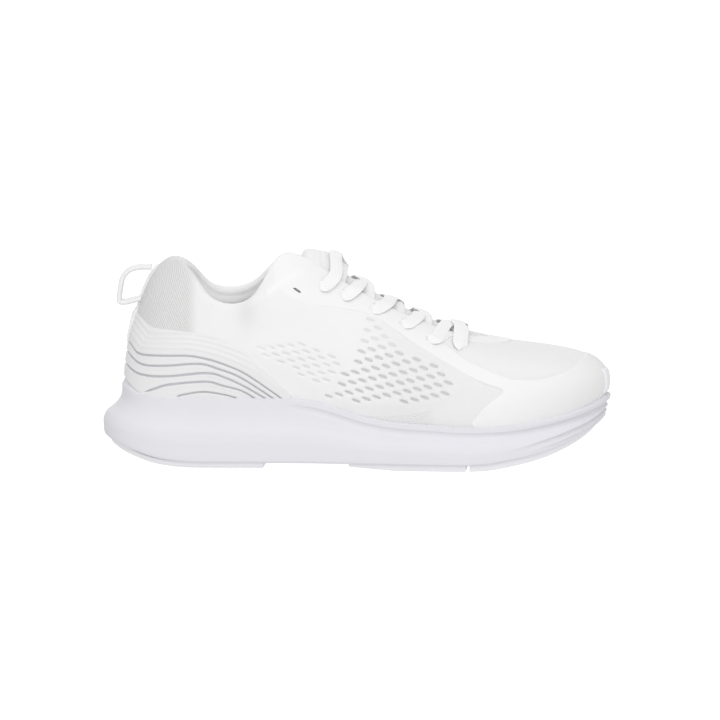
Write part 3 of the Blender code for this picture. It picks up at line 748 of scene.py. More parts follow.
def seam_at(points):
    """Share of the soft seam that runs up to the plateau."""
    gap, share = distance_to(TOPLINE_SEAM, points[..., 0], points[..., 2])
    return bump_at(gap, 0, 2.2) * np.sin(math.pi * np.clip(share, 0, 1)) ** 0.5


def shell_relief(points):
    """Small raised and sunk features of the knit, outwards."""
    return 0.1 * seam_at(points) - hollow_at(points)


def front_shade(x):
    """How far the front of the upper is darker than its rear."""
    return 0.22 * ease(-8, 34, x)


def upper_panel(name, first, last, look, nodes, count):
    """One knit panel of the upper from station to station."""
    us = np.linspace(first, last, count) / COUNT
    path_v, path_depth, in_v, in_depth = np.array([edge_path(u) for u in us]).transpose(1, 0, 2)
    wide = np.repeat(us[:, None], path_v.shape[1], 1)
    skin = surface(wide, path_v)
    relief = shell_relief(skin) * (1 - ease(0.0, 1.0, path_depth))
    x, z = skin[..., 0], skin[..., 2]
    ribs = (1 - ease(-98, -90, x)) * ease(62, 68, z)
    ribs = np.maximum(ribs, bump_at(x, -63, 5) * bump_at(z, 88, 7) * 0.35)
    hatch = ease(-6, 2, x) * (1 - ease(38, 43, x)) * (1 - ease(39, 42, z))
    hatch = np.maximum(hatch, bump_at(x, 37, 5) * bump_at(z, 66, 4))
    opened = ease(26, 44, x) * (1 - ease(60, 70, z)) * 0.3
    places = np.stack([x.ravel(), z.ravel()], -1)
    # Darker knit under the lattice slots, partly a real underlay and partly painted shade in the slots; the
    # front of the upper is painted darker too, less so near the top.
    underlay_and_shade = inside(places, LATTICE) * 1.0 + inside(places, SIDE_LATTICE) * 0.45
    underlay_and_shade = np.clip(underlay_and_shade, 0, 1).reshape(x.shape) * (1 - ease(0.0, 0.5, path_depth))
    underlay_and_shade = underlay_and_shade * (1 - 0.5 * ease(64, 74, z))
    front = front_shade(x)
    if name.startswith("vamp"):
        front = front * (1 - 0.6 * ease(49, 57, z))
    underlay_and_shade = np.maximum(underlay_and_shade, front)
    # Painted shade on the heel's rear, which turns away from the lamps.
    if name.startswith("heel"):
        underlay_and_shade = 0.4 * (1 - ease(-124, -110, x))
    # Painted highlight along the seam ridge and over the rolled top edge, carried down the inside fold.
    mark = np.maximum(0.45 * seam_at(skin), ease(0.3, 1.8, path_depth))
    values = {"ribs": ribs, "hatch": hatch, "open": opened, "underlay_and_shade": underlay_and_shade, "mark": mark}
    made = add_band(name, layer(wide, path_v, path_depth - relief), layer(wide, in_v, in_depth), look,
                    uv=cloth_uv(wide, path_v + path_depth / RIB_MM), values=values, sharp=50)
    if name.startswith("quarter"):
        punch(made, uv_of(spare_slot()), first > TOE)
    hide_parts(*nodes)


def punch(piece, loop, inner):
    """Cuts a hole with this (u, v) outline through a panel of the upper."""
    u = 1 - loop[:, 0] if inner else loop[:, 0]
    count = len(u)
    faces = [list(range(count)), list(range(count, 2 * count))]
    faces += [(i, (i + 1) % count, count + (i + 1) % count, count + i) for i in range(count)]
    cutter = make_object("punch", [layer(u, loop[:, 1], depth) for depth in (-2.0, 2.0)], faces)
    cut = piece.modifiers.new("punch", "BOOLEAN")
    cut.operation, cut.solver, cut.object = "DIFFERENCE", "EXACT", cutter
    bpy.context.view_layer.objects.active = piece
    bpy.ops.object.modifier_apply(modifier=cut.name)
    bpy.data.objects.remove(cutter)


def lining_panel(name, first, last, look, nodes, count):
    """Inner textile from station to station, from the knit that is folded over the edge down to the sole."""
    us = np.linspace(first, last, count) / COUNT
    vs = np.array([np.linspace(SHELL_TOP_V - (SEAM_BELOW - 0.6) / rib_length(u), 0.02, 60) for u in us])
    wide = np.repeat(us[:, None], vs.shape[1], 1)
    depth = inner_depth(wide, vs)
    depth[:, :2] -= (0.9, 0.25)
    made = add_band(name, layer(wide, vs, depth + 0.25), layer(wide, vs, depth - FABRIC), look,
                    uv=cloth_uv(wide, vs), sharp=50)
    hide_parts(*nodes)
    return made


def build_upper():
    back, front, collar_front = 4.5, 8.5, 5.0
    upper_panel("heel_knit_panel", -back, back, heel_knit_look(), ["heel_knit", "heel_counter"], 300)
    for side, lean, first in (("outer", 1, back), ("inner", -1, COUNT - front)):
        look = quarter_look(f"quarter_knit_{side}", lean)
        upper_panel(f"quarter_panel_{side}", first, first + front - back, look,
                    [f"quarter_{side}", f"eyestay_tape_{side}"], 130)
    upper_panel("vamp_panel", front, COUNT - front, vamp_look(), ["vamp_knit", "toe_puff"], 240)
    collar = lining_panel("collar_pad", -collar_front, collar_front, lining_look("collar_textile"),
                          ["collar_lining", "collar_foam"], 200)
    lining_panel("vamp_lining_panel", collar_front, COUNT - collar_front, lining_look("vamp_textile"),
                 ["vamp_lining"], 240)


# ------------------------------------------------------------------ heel film

HEEL_FILM_TOP = [(-140, 86), (-128, 86), (-116, 79), (-96, 77.5), (-81, 75), (-66, 68), (-57, 60),
                 (-48, 51.5), (-41, 45), (-36, 40), (-30, 34)]
HEEL_FILM = 1.55
HEEL_FILM_REACH = 4.85  # in stations, to both sides
UNDER_RIM = -0.6  # the films go this far below the midsole's rim
# Chart of the whole upper: u and v stretched to about real millimetres.
CHART = np.array([720.0, 112.0])


def patch(us, low, top, rows):
    """(u, v) grid on the upper between two lines across the ribs at us; rows are shares of the way up."""
    lows = columns(low, us)
    tops = np.maximum(columns(top, us), lows + 0.004)
    vs = lows[:, None] + (tops - lows)[:, None] * rows[None, :]
    return np.repeat(us[:, None], len(rows), 1), vs


def from_ends(us):
    """Distance in mm from the nearer end of a run of u, as a column."""
    return np.minimum(us - us[0], us[-1] - us)[:, None] * CHART[0]


def dome(edge, width):
    """Rounded rise from 0 at an edge to 1 at this distance from it."""
    return 1 - (1 - np.clip(edge / width, 0, 1)) ** 2


def heel_film_relief(x, z):
    """Height of the heel film's face over its plain thickness, and the share of a groove there."""
    relief, groove = np.zeros_like(x), np.zeros_like(x)
    for number, (line, width) in enumerate(GROOVES):
        gap, share = distance_to(line, x, z)
        taper = 1 - 0.3 * ease(0.5, 1.0, share)
        if number > 2:
            taper = taper * ease(0, 0.08, share)
        wide = width * np.maximum(taper, 0.2)
        groove = np.maximum(groove, (1 - ease(wide * 0.5, wide * 1.1, gap)) * np.minimum(1, taper * 2))
        relief += 0.10 * bump_at(gap, 1.5, 0.6)
    above_line = z > np.interp(x, *TOP_GROOVE.T)
    gap, _ = distance_to(TOP_GROOVE, x, z)
    fade = 1 - 0.7 * ease(-72, -54, x)
    for centre in (4.4, 7.4, 10.2, 13.0):
        relief += 0.26 * fade * bump_at(gap, centre, 0.7) * above_line
    plain = HEEL_FILM * (1 - 0.78 * ease(3, 13, gap) * above_line)
    return plain + relief - 1.35 * groove, groove


def build_heel_film():
    us = np.linspace(-HEEL_FILM_REACH, HEEL_FILM_REACH, 820) / COUNT
    wide, vs = patch(us, lambda u: v_rim(u, UNDER_RIM), lambda u: v_on_line(u, HEEL_FILM_TOP),
                     np.linspace(0, 1, 210))
    skin = surface(wide, vs)
    rise = arc_lengths(skin, 1)
    height_here, groove = heel_film_relief(skin[..., 0], skin[..., 2])
    face = np.maximum(height_here * dome(np.minimum(rise[:, -1:] - rise, from_ends(us)), 1.3), 0.02)
    # The grooves carry painted shade, darker than the film around them.
    look = film_look("heel_film", 0.45, HEEL_DEEP, HEEL_WHITE, GROOVE_SHADE_GREY)
    made = add_band("heel_film", layer(wide, vs, -face), layer(wide, vs, 0.12), look, uv=cloth_uv(wide, vs),
                    values={"mark": groove}, sharp=60)
    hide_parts("heel_overlay")


# ------------------------------------------------------------------ films cut to an outline


def spaced(loop, gap):
    """The closed loop with points about gap apart, measured in its own plane."""
    loop = np.asarray(loop, float)
    loop = np.vstack([loop, loop[:1]])
    run = arc_lengths(loop, 0)
    marks = np.linspace(0, run[-1], max(4, int(round(run[-1] / gap))) + 1)
    return np.stack([np.interp(marks, run, column) for column in loop.T], -1)[:-1]


def inside(points, loop):
    """Which plane points lie inside a closed loop."""
    x, y = points[:, 0], points[:, 1]
    within = np.zeros(len(points), bool)
    for (x0, y0), (x1, y1) in zip(loop, np.roll(loop, -1, axis=0)):
        if y0 == y1:
            continue
        crosses = (y0 > y) != (y1 > y)
        within ^= crosses & (x < (x1 - x0) * (y - y0) / (y1 - y0) + x0)
    return within


def inset_loop(loop, amount, inwards):
    """The loop moved sideways by amount; inwards tells whether the material lies inside it."""
    before, after = np.roll(loop, 1, axis=0), np.roll(loop, -1, axis=0)
    tangent = after - before
    tangent /= np.maximum(np.linalg.norm(tangent, axis=1, keepdims=True), 1e-9)
    area = np.sum(loop[:, 0] * after[:, 1] - after[:, 0] * loop[:, 1])
    sign = (1 if area > 0 else -1) * (1 if inwards else -1)
    return loop + np.stack([-tangent[:, 1], tangent[:, 0]], -1) * amount * sign


def cut_film(name, outline, holes, to_uv, profile, look, mirror=False, grid=1.6, edge=0.45):
    """Thin solid on the upper with rounded edges.

    outline and holes are loops in a flat chart in mm; to_uv maps chart points to (u, v), and
    profile gives the film's thickness at chart points. The film's edge rises over the width edge.
    """
    loops = [(spaced(outline, 1.0), True)] + [(spaced(h, 0.6), False) for h in holes]
    points, edges, levels = [], [], []
    for loop, inwards in loops:
        for amount, level in ((0.0, 0.0), (edge * 0.35, 0.7), (edge, 1.0)):
            ring = loop if amount == 0 else inset_loop(loop, amount, inwards)
            first = len(points)
            points += [tuple(p) for p in ring]
            levels += [level] * len(ring)
            if amount == 0:
                edges += [(first + i, first + (i + 1) % len(ring)) for i in range(len(ring))]
    rings = np.array(points)
    low, high = rings.min(0), rings.max(0)
    gx, gy = np.meshgrid(np.arange(low[0], high[0], grid), np.arange(low[1], high[1], grid), indexing="ij")
    gx = gx + (np.arange(gx.shape[1]) % 2) * grid / 2
    field = np.stack([gx.ravel(), gy.ravel()], -1)
    keep = inside(field, inset_loop(loops[0][0], edge * 1.6, True))
    for loop, _ in loops[1:]:
        keep &= ~inside(field, inset_loop(loop, edge * 1.6, False))
    for loop, _ in loops:
        for point in loop:
            keep &= np.hypot(*(field - point).T) > edge + 0.4
    field = field[keep]
    flat = [Vector(p) for p in points] + [Vector(p) for p in field]
    levels = np.array(levels + [1.0] * len(field))
    verts, _, faces, origins, _, _ = delaunay_2d_cdt(flat, edges, [], 0, 1e-5, True)
    verts = np.array([tuple(v) for v in verts])
    level = np.array([min((levels[o] for o in own), default=1.0) for own in origins])
    faces = np.array([f for f in faces if len(f) == 3])
    middle = verts[faces].mean(1)
    kept = inside(middle, loops[0][0])
    for loop, _ in loops[1:]:
        kept &= ~inside(middle, loop)
    faces = faces[kept]
    used = np.unique(faces)
    number = np.full(len(verts), -1)
    number[used] = np.arange(len(used))
    verts, level, faces = verts[used], level[used], number[faces]
    uv = to_uv(verts)
    u, v = 1 - uv[:, 0] if mirror else uv[:, 0], uv[:, 1]
    thick = profile(verts) * level
    skin = surface(u, v)
    sunk = -shell_relief(skin)
    outer, inner = layer(u, v, sunk - np.maximum(thick, 0.03)), layer(u, v, sunk + 0.10)
    total = len(verts)
    rims = dict.fromkeys(pair for a, b, c in faces for pair in ((a, b), (b, c), (c, a)))
    sides = [(b, a, total + a, total + b) for a, b in rims if (b, a) not in rims]
    solid = [tuple(f) for f in faces] + [tuple(total + k for k in f[::-1]) for f in faces] + sides
    place = np.tile(cloth_uv(u, v), (2, 1))
    # Painted highlight along the seam, and the front painted darker.
    values = {"mark": np.tile(0.2 * seam_at(skin), 2), "underlay_and_shade": np.tile(front_shade(skin[:, 0]), 2)}
    return add_piece(name, [outer, inner], solid, look, uv=place, values=values, sharp=60)


def other_half(line):
    """(u, v) points moved to the same place on the other half of the shoe."""
    return line * (-1, 1) + (1, 0)


def slot_loop(centre, length, width, tilt, count=18):
    """Rounded slot in a side-view plane."""
    angles = np.linspace(0, 2 * math.pi, count, endpoint=False)
    c, s = np.cos(angles), np.sin(angles)
    shape = np.stack([power_sign(c, 0.8) * length / 2, s * width / 2], -1)
    c, s = math.cos(tilt), math.sin(tilt)
    return np.array(centre) + shape @ np.array([[c, s], [-s, c]])


EYESTAY_LOW = [(-47, 104), (-40, 97.5), (-30, 94), (-18, 92), (-4, 89.5), (8.8, 85.7), (20, 78.7), (36, 68),
               (52.7, 58.4), (67, 50.6), (78, 46.9)]
SPARE_TILT = math.radians(-33)
EYESTAY_CORNER = [(80.6, 45.6), (80.8, 44.2), (79.2, 42.6), (75.5, 40), (70, 35.4), (66, 30.5), (63.5, 27.0)]
WINDOW_EDGE = [(55, 64), (62, 61), (79, 54), (88, 51.3), (101, 51), (111, 53), (120.6, 56.5), (129, 61.5),
               (140, 68)]
FILM = 0.6
FILM_TOP_V = 0.962
WINDOW_START, WINDOW_TOP_V = 8.45, 0.865  # the toe window's rear end in stations, and its upper edge
# Eyelets in side view, lowest first, and the unused one behind them.
HOLES = [(58.7, 68.7), (40.2, 73.0), (25.3, 81.2), (8.3, 89.6), (-8.6, 97.8), (-20.8, 103.6)]
SPARE_HOLE = (-34.5, 101.2)


def spare_slot(more=0.0):
    """Outline of the unused eyelet in side view."""
    return slot_loop(SPARE_HOLE, 5.0 + more, 1.35 + more, SPARE_TILT)


def build_toe_film():
    """Film over the toe and along both eyelet rows, with a window on the toe box."""
    low_line = uv_of(np.vstack([smooth_route(EYESTAY_LOW, 6), smooth_route(EYESTAY_CORNER, 4)]))
    top_us = np.linspace(low_line[0, 0], 0.5, 90)
    top = np.stack([top_us, np.full(90, FILM_TOP_V)], -1)
    foot_us = np.linspace(low_line[-1, 0], 0.5, 90)
    foot = np.stack([foot_us, columns(lambda u: v_rim(u, UNDER_RIM), foot_us)], -1)
    near = np.vstack([top[::-1], low_line, foot])
    outline = np.vstack([near, other_half(near[::-1])[1:-1]]) * CHART
    window_us = np.linspace(WINDOW_START / COUNT, 0.5, 60)
    bottom = columns(lambda u: v_on_line(u, WINDOW_EDGE), window_us)
    above = WINDOW_TOP_V - 0.02 * ease(8.4, 10.5, window_us * COUNT)
    reach = (above - bottom) / 2 * np.maximum(ease(8.4, 8.9, window_us * COUNT), 0.05)
    lower, upper = (np.stack([window_us, (bottom + above) / 2 + sign * reach], -1) for sign in (-1, 1))
    window = np.vstack([lower, other_half(lower[::-1])[1:], other_half(upper), upper[::-1][1:]])
    holes = [window * CHART]
    for loop in [slot_loop(c, 4.6, 1.9, math.radians(-12)) for c in HOLES] + [spare_slot(0.3)]:
        hole = uv_of(loop)
        holes += [hole * CHART, other_half(hole[::-1]) * CHART]

    def thickness(chart):
        """Full thickness over the toe and the laced eyelets, fading out on the plateau behind them."""
        return FILM * (0.1 + 0.9 * ease(-32, 16, surface(*(chart / CHART).T)[:, 0]))

    made = cut_film("toe_and_eyelet_film", outline, holes, lambda chart: chart / CHART, thickness,
                    film_look("toe_film", 0.5))
    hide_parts("toe_film")


LATTICE = closed_route([(-21, 41), (-14, 52), (-7, 62), (-3, 69), (0, 79), (6, 86.5), (15, 81), (25, 69.5),
                        (42, 61), (59, 49), (54, 43.5), (40, 40), (19, 36.5), (0, 36.5), (-12, 39.5)])
SIDE_LATTICE = closed_route([(-62, 70.5), (-50, 74), (-30, 73), (-16, 67), (-6, 60), (-13, 46), (-24, 48),
                             (-36, 54), (-50, 61.5)])
LATTICE_FILM = closed_route([(-66, 67), (-58, 77), (-44, 80), (-28, 79), (-15, 75), (-8, 82), (-2, 90),
                             (6, 92.5), (17, 85), (31, 74), (48, 65), (62, 57), (70, 48), (62, 40.5),
                             (46, 36), (26, 31.5), (2, 31), (-16, 35), (-30, 43), (-44, 51), (-58, 59)])
LATTICE_FADE = 8.0
SLOT_TILT = math.radians(-19)


def slots_in(loop, size, along_step, down_step, start):
    """Slots of a size (length, width) on a slanted lattice, those that lie inside a loop."""
    found = []
    for row in range(-12, 13):
        for col in range(-25, 26):
            centre = np.array(start) + np.array(along_step) * col + np.array(down_step) * row
            if np.all(inside(slot_loop(centre, size[0] + 0.6, size[1] + 0.6, SLOT_TILT, 8), loop)):
                found.append(slot_loop(centre, *size, SLOT_TILT))
    return found


def build_lattices():
    """Raised film with rows of slots on both sides: strong ones under the eyelets, faint ones behind them."""
    slots = slots_in(LATTICE, (5.0, 1.5), (5.75, 1.15), (4.0, -4.6), (1.7, 66.9))
    taken = np.array([slot.mean(0) for slot in slots])
    for slot in slots_in(SIDE_LATTICE, (4.8, 1.1), (5.7, 0.6), (2.8, -4.0), (-55.0, 68.5)):
        if np.min(np.hypot(*(taken - slot.mean(0)).T)) > 5.4:
            slots.append(slot)
    closed = np.vstack([LATTICE_FILM, LATTICE_FILM[:1]])

    def raised(points):
        """The film fades out towards its edge, its top and its rear part."""
        x, z = points[:, 0], points[:, 1]
        weak = np.maximum(1 - ease(-18, -6, x), ease(62, 76, z))
        return 0.05 + (0.85 - 0.5 * weak) * ease(0, LATTICE_FADE, distance_to(closed, x, z)[0])

    for side, lean in (("outer", 1), ("inner", -1)):
        look = quarter_look(f"lattice_film_{side}", lean)
        made = cut_film(f"lattice_{side}", LATTICE_FILM, slots, uv_of, raised, look, mirror=side == "inner",
                        grid=1.3, edge=0.5)
        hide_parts(f"lattice_film_{side}")


# ------------------------------------------------------------------ sole unit

FLANK = [(0, 0.9), (0.06, 0.955), (0.12, 0.985), (0.3, 1), (0.45, 0.85), (0.62, 0.34), (0.78, 0.05), (0.9, 0),
         (1, 0)]
BOTTOM_INSET = 4.5
RUBBER = 3.15
HEEL_PAD_END, BALL_PAD_START, BALL_PAD_END, TOE_PAD_START = -54.0, -6.0, 60.5, 62.5
HEEL_PAD_U, TOE_PAD_U = 0.012, 0.488  # where the outermost pads end round the outline
PAST_FOAM = 0.5  # the pads stand this far out beyond the foam
RIM_WALL = 2.6  # width of the foam at its rim
INSOLE_LOW, INSOLE_TOP = 2.3, 6.2  # above the footbed's floor
# The tread's chevrons along x and their slant, and the distance of the side grooves from the middle.
TREAD_PITCH, TREAD_SLANT, TREAD_SPLIT = 8.5, 0.55, 13.5


def base_edge(u):
    """Edge of the foam's underside."""
    plan = along(OUTLINE, u) - outward(u) * BOTTOM_INSET
    return np.concatenate([plan, height(UNDERSIDE, plan[..., 0])[..., None]], -1)


def flank_relief(x, below):
    """Lip, groove and ridges of the midsole's side, outwards, by distance below the rim."""
    front = ease(-45, -22, x)
    toe = ease(55, 112, x)
    lip = 0.55 * front * (1 - ease(2.3, 3.3, below))
    groove = -(0.35 + 1.15 * toe) * front * bump_at(below, 4.9 - 0.9 * toe, 1.5)
    second = np.interp(x, (82, 103, 120, 133, 143), (12.5, 9.4, 7.6, 6.6, 6.2))
    third = second + np.interp(x, (90, 120, 143), (4.6, 3.6, 2.9))
    ridge = 1.0 * ease(78, 106, x) * bump_at(below, second, 0.9)
    valley = -0.7 * ease(88, 112, x) * bump_at(below, (second + third) / 2, 0.9)
    last = 0.75 * ease(92, 116, x) * bump_at(below, third, 0.8)
    return lip + groove + ridge + valley + last


def level_vectors(plan):
    """Points or vectors in plan with a height of 0."""
    return np.concatenate([plan, np.zeros((len(plan), 1))], 1)


def midsole_columns(us):
    """Rings of the midsole's outside from the cup's floor over the rim down to the underside."""
    rim_v = columns(v_rim, us)
    rim = surface(us, rim_v)
    out = level_vectors(outward(us))
    base = base_edge(us)
    reach = np.sum((level_vectors(along(OUTLINE, us)) - rim) * out, 1)
    drop = height(LIP_DROP, rim[:, 0])
    levels = np.concatenate([np.linspace(1, 0.06, 96), [0.035, 0.022, 0.01, 0.0]])
    offset = RIM_WALL + (reach[:, None] - RIM_WALL) * height(FLANK, levels)[None, :]
    z = base[:, 2:] + (rim[:, 2] - base[:, 2] - drop)[:, None] * levels[None, :]
    below = (rim[:, 2] - drop)[:, None] - z
    offset = offset + flank_relief(np.repeat(rim[:, :1], len(levels), 1), below)
    inset = (reach - BOTTOM_INSET)[:, None]
    offset = inset + (offset - inset) * np.sqrt(dome(levels, 0.035))[None, :]
    flank = (rim * (1, 1, 0))[:, None, :] + out[:, None, :] * offset[..., None]
    flank[..., 2] = z
    # Over the rim: up the upper, round the soft lip and out to the flank's top.
    lip = []
    for t in np.linspace(0, 1, 9)[:-1]:
        lip.append(rim + (flank[:, 0] - rim) * (1 - math.cos(t * math.pi / 2)) * (1, 1, 0)
                   + np.outer(drop, (0, 0, 1)) * (-t) + np.array((0, 0, 0.55)) * math.sin(t * math.pi))
    wall = [layer(us, rim_v * s, 0.25) for s in (0.0, 0.5, 0.93)]
    wall[0][:, 2] = height(FLOOR, wall[0][:, 0]) - 0.3
    return np.concatenate([np.stack(wall, 1), np.stack(lip, 1), flank], 1)


def build_midsole():
    count, rungs = 720, 13
    half = count // 2
    rings = midsole_columns(np.arange(count) / count)
    size = rings.shape[1]
    faces = grid_faces(count, size, True)
    # The cup's floor and the underside are closed by rungs across the foot.
    ts = np.linspace(0, 1, rungs + 2)[1:-1]
    points = [rings.reshape(-1, 3)]
    start = count * size
    for k, bottom in ((0, False), (size - 1, True)):
        index = {}
        for i in range(1, half):
            for n, t in enumerate(ts):
                point = rings[i, k] * (1 - t) + rings[count - i, k] * t
                if bottom:
                    between_pads = ease(-48, -38, point[0]) - ease(-12, -4, point[0])
                    point = point + (0, 0, 0.9 * math.sin(math.pi * t) ** 0.5 * between_pads)
                index[(i, n)] = start
                points.append(point[None, :])
                start += 1

        def at(i, n):
            if n < 0 or i in (0, half):
                return i * size + k
            return (count - i) * size + k if n >= rungs else index[(i, n)]

        for i in range(half):
            for n in range(-1, rungs):
                corners = [at(i, n), at(i + 1, n), at(i + 1, n + 1), at(i, n + 1)]
                faces.append(list(dict.fromkeys(corners)))
    made = add_piece("midsole_foam", np.vstack(points), faces, foam_look(), sharp=50)
    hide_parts("midsole")


def tread(x, y, edge):
    """Depth of the outsole's grooves in mm; edge is the distance to the pad's side."""
    across = np.abs(((x + np.abs(y) * TREAD_SLANT) / TREAD_PITCH + 0.5) % 1 - 0.5) * TREAD_PITCH
    cross = 1.5 * (1 - ease(0.7, 1.2, across))
    split = 1.5 * (1 - ease(0.7, 1.2, np.abs(np.abs(y) - TREAD_SPLIT)))
    middle = 1.8 * (1 - ease(1.6, 2.4, np.abs(y)))
    return np.maximum(np.maximum(cross, split), middle) * ease(3.5, 4.6, edge)


def across_foot(a, b, ts):
    """Grid of points on straight lines from a to b, and the distance of each from the nearer end."""
    grid = a[:, None, :] * (1 - ts)[None, :, None] + b[:, None, :] * ts[None, :, None]
    return grid, np.minimum(ts, 1 - ts)[None, :] * np.linalg.norm(b - a, axis=1)[:, None]


def outsole_pad(name, first, last, count, edge_rise, node, taper=((0, 1), (1, 1))):
    """Rubber under the foam from first to last; taper is its share of the full thickness along x."""
    us = np.linspace(first, last, count)
    ts = np.concatenate([[0, 0.012, 0.03], np.linspace(0.05, 0.95, 100), [0.97, 0.988, 1]])
    past = level_vectors(outward(us) * PAST_FOAM)
    a, b = base_edge(us) + past, base_edge(1 - us) + past * (1, -1, 1)
    top, side = across_foot(a, b, ts)
    run = arc_lengths((a + b) / 2, 0)
    edge = np.minimum(side, np.minimum(run, run[-1] - run)[:, None])
    round_off = 0.6 * (1 - dome(edge, 1.0)) + edge_rise * (1 - ease(0.0, 5.5, side))
    thick = RUBBER * np.interp(top[..., 0], *taper)
    cut = tread(top[..., 0], top[..., 1], edge) * np.minimum(1, thick / 3)
    bottom = top.copy()
    bottom[..., 2] -= np.maximum(thick - round_off - cut, 0.3) + CAD_GAP
    made = add_band(name, bottom, top + (0, 0, 0.15), rubber_look(name + "_rubber"), sharp=45)
    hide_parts(node)


def build_outsole():
    outsole_pad("heel_rubber", HEEL_PAD_U, u_at(HEEL_PAD_END), 150, 1.0, "outsole_heel_pad")
    outsole_pad("ball_rubber", u_at(BALL_PAD_START), u_at(BALL_PAD_END), 130, 0.0, "outsole_ball_pad",
                ((BALL_PAD_START - 4, 20), (0.3, 1)))
    outsole_pad("toe_rubber", u_at(TOE_PAD_START), TOE_PAD_U, 170, 0.0, "outsole_toe_pad")


def build_footbed():
    """Insole with a rolled edge, dished under the heel, and the felt look of the CAD's board under it."""
    us = np.concatenate([[0.0025], np.linspace(0.008, 0.492, 220), [0.4975]])

    def edge_of(u):
        point = layer(u, 0.04, 4.6)
        point[..., 2] = height(FLOOR, point[..., 0])
        return point

    base, across = across_foot(edge_of(us), edge_of(1 - us), np.linspace(0, 1, 61))
    x = base[..., 0]
    base[..., 2] = height(FLOOR, x)
    dish = 1.3 * (1 - ease(0, 16, across)) * (1 - ease(-20, 40, x)) + 0.5 * (1 - ease(0, 14, across))
    rise = INSOLE_TOP - 1.6 * (1 - dome(across, 2.2)) + dish
    look = lining_look("insole_textile", grey(0.84), grey(0.92))
    made = add_band("insole", base + rise[..., None] * (0, 0, 1), base + (0, 0, INSOLE_LOW), look,
                    uv=base[..., :2], sharp=60)
    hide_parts("sockliner")
    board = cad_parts["strobel_board"]
    board.data.materials.clear()
    board.data.materials.append(plain_look("board_felt", 0.95, 0.1, 0.0, (0.5, 4.0, 0.7), (0.5, 0.5, 0.48),
                                           (0.68, 0.68, 0.66), (0.15, 0.7)))


# ------------------------------------------------------------------ tongue and lacing

TONGUE_FIRST, TONGUE_LAST, TONGUE_TOP = 6.05, 10.6, np.array([-12.5, 0, 9.5])
TONGUE_DOWN = np.array([-0.45, 0, -0.89])
TONGUE_CROWN, TONGUE_DROP, TONGUE_THICK = 4.5, 3.6, 8.8
TONGUE_TAIL = np.array([12.5, 0, -2.5])
TONGUE_V, TONGUE_DEPTH = 0.86, 4.2  # where its side edges lie on the upper
# Shares of the tongue's length: the part above the last rib, its round tip, its shoulders, the channel
# across its padding, and the tail that goes on past its sewn end.
ABOVE, TIP, SHOULDER, CHANNEL, TAIL = 0.13, 0.045, 0.16, 0.085, 0.06
LACE_WIDTH, LACE_THICK = 7.6, 1.0


def tongue_swell(x):
    """Extra height of the padded top of the tongue, behind the last strand of lace."""
    return 6.3 * ease(-28, -15, x) * (1 - ease(-13.5, -7, x))


def tongue_row(u):
    """Control points of the tongue's face across the foot at u."""
    left, right = layer(u, TONGUE_V, TONGUE_DEPTH), layer(1 - u, TONGUE_V, TONGUE_DEPTH)
    crown = (surface(u, 1.0) + surface(1 - u, 1.0)) / 2 + (0, 0, TONGUE_CROWN)
    return left, 2 * crown - (left + right) / 2, right


def crown_at(x):
    """Height of the tongue's face at the middle of the foot."""
    us = np.linspace(TONGUE_FIRST, TONGUE_LAST, 60) / COUNT
    tops = np.array([(surface(u, 1.0) + surface(1 - u, 1.0)) / 2 for u in us])
    return np.interp(x, tops[:, 0], tops[:, 2]) + TONGUE_CROWN - TONGUE_DROP + tongue_swell(x)


def build_tongue():
    start, end = TONGUE_FIRST / COUNT, TONGUE_LAST / COUNT
    outer, inner = [], []
    ts = np.linspace(0, 1, 65)
    side = np.abs(2 * ts - 1)
    for w in np.concatenate([np.linspace(0, 1, 190), np.linspace(1, 1 + TAIL, 9)[1:]]):
        above = max(0.0, 1 - w / ABOVE)
        u = start + (end - start) * min(1.0, max(0.0, (w - ABOVE) / (1 - ABOVE)))
        left, middle, right = tongue_row(u)
        face = (np.outer((1 - ts) ** 2, left) + np.outer(2 * ts * (1 - ts), middle) + np.outer(ts**2, right)
                - (0, 0, TONGUE_DROP) + TONGUE_TOP * above)
        thick = TONGUE_THICK * (0.35 + 0.65 * max(0.0, (end - u) / (end - start)))
        # The pad is full in the middle, thin along its sides, and rounded at its top end.
        full = np.sqrt(np.clip(1 - side**5, 0, 1)) * 0.92 + 0.08
        full = full * (0.10 + 0.90 * math.sqrt(dome(w, TIP)))
        face = face - np.outer(0.75 * np.clip(1 - w / SHOULDER, 0, 1) ** 2 * side**3, TONGUE_TOP)
        x_here = float(face[len(ts) // 2, 0])
        puff = 0.0
        if -26 < x_here < 66:
            nearest = min(abs(x_here - 4 - hx) for hx, _ in HOLES)
            puff = 1.1 * (1 - bump_at(nearest, 0, 4.5)) - 0.5
        channel = -0.7 * bump_at(w, CHANNEL, 0.006)
        lift = (puff + channel + tongue_swell(x_here) - 4.0 * ease(0.88, 1.0, w)) * (1 - side**2)
        tail = np.outer(max(0.0, w - 1) / TAIL * (1 - side**2), TONGUE_TAIL)
        middle_line = face + TONGUE_DOWN * thick * 0.5 + tail
        half = np.outer(thick * 0.5 * full, TONGUE_DOWN)
        outer.append(middle_line - half + np.outer(lift, (0.2, 0, 0.98)))
        inner.append(middle_line + half)
    outer, inner = np.array(outer), np.array(inner)
    made = add_band("tongue_pad", outer, inner, tongue_look(), body="tongue", sharp=70,
                    uv=np.stack([arc_lengths(outer, 1), arc_lengths(outer, 0)], -1))
    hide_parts("tongue_shell", "tongue_foam", "tongue_lining")


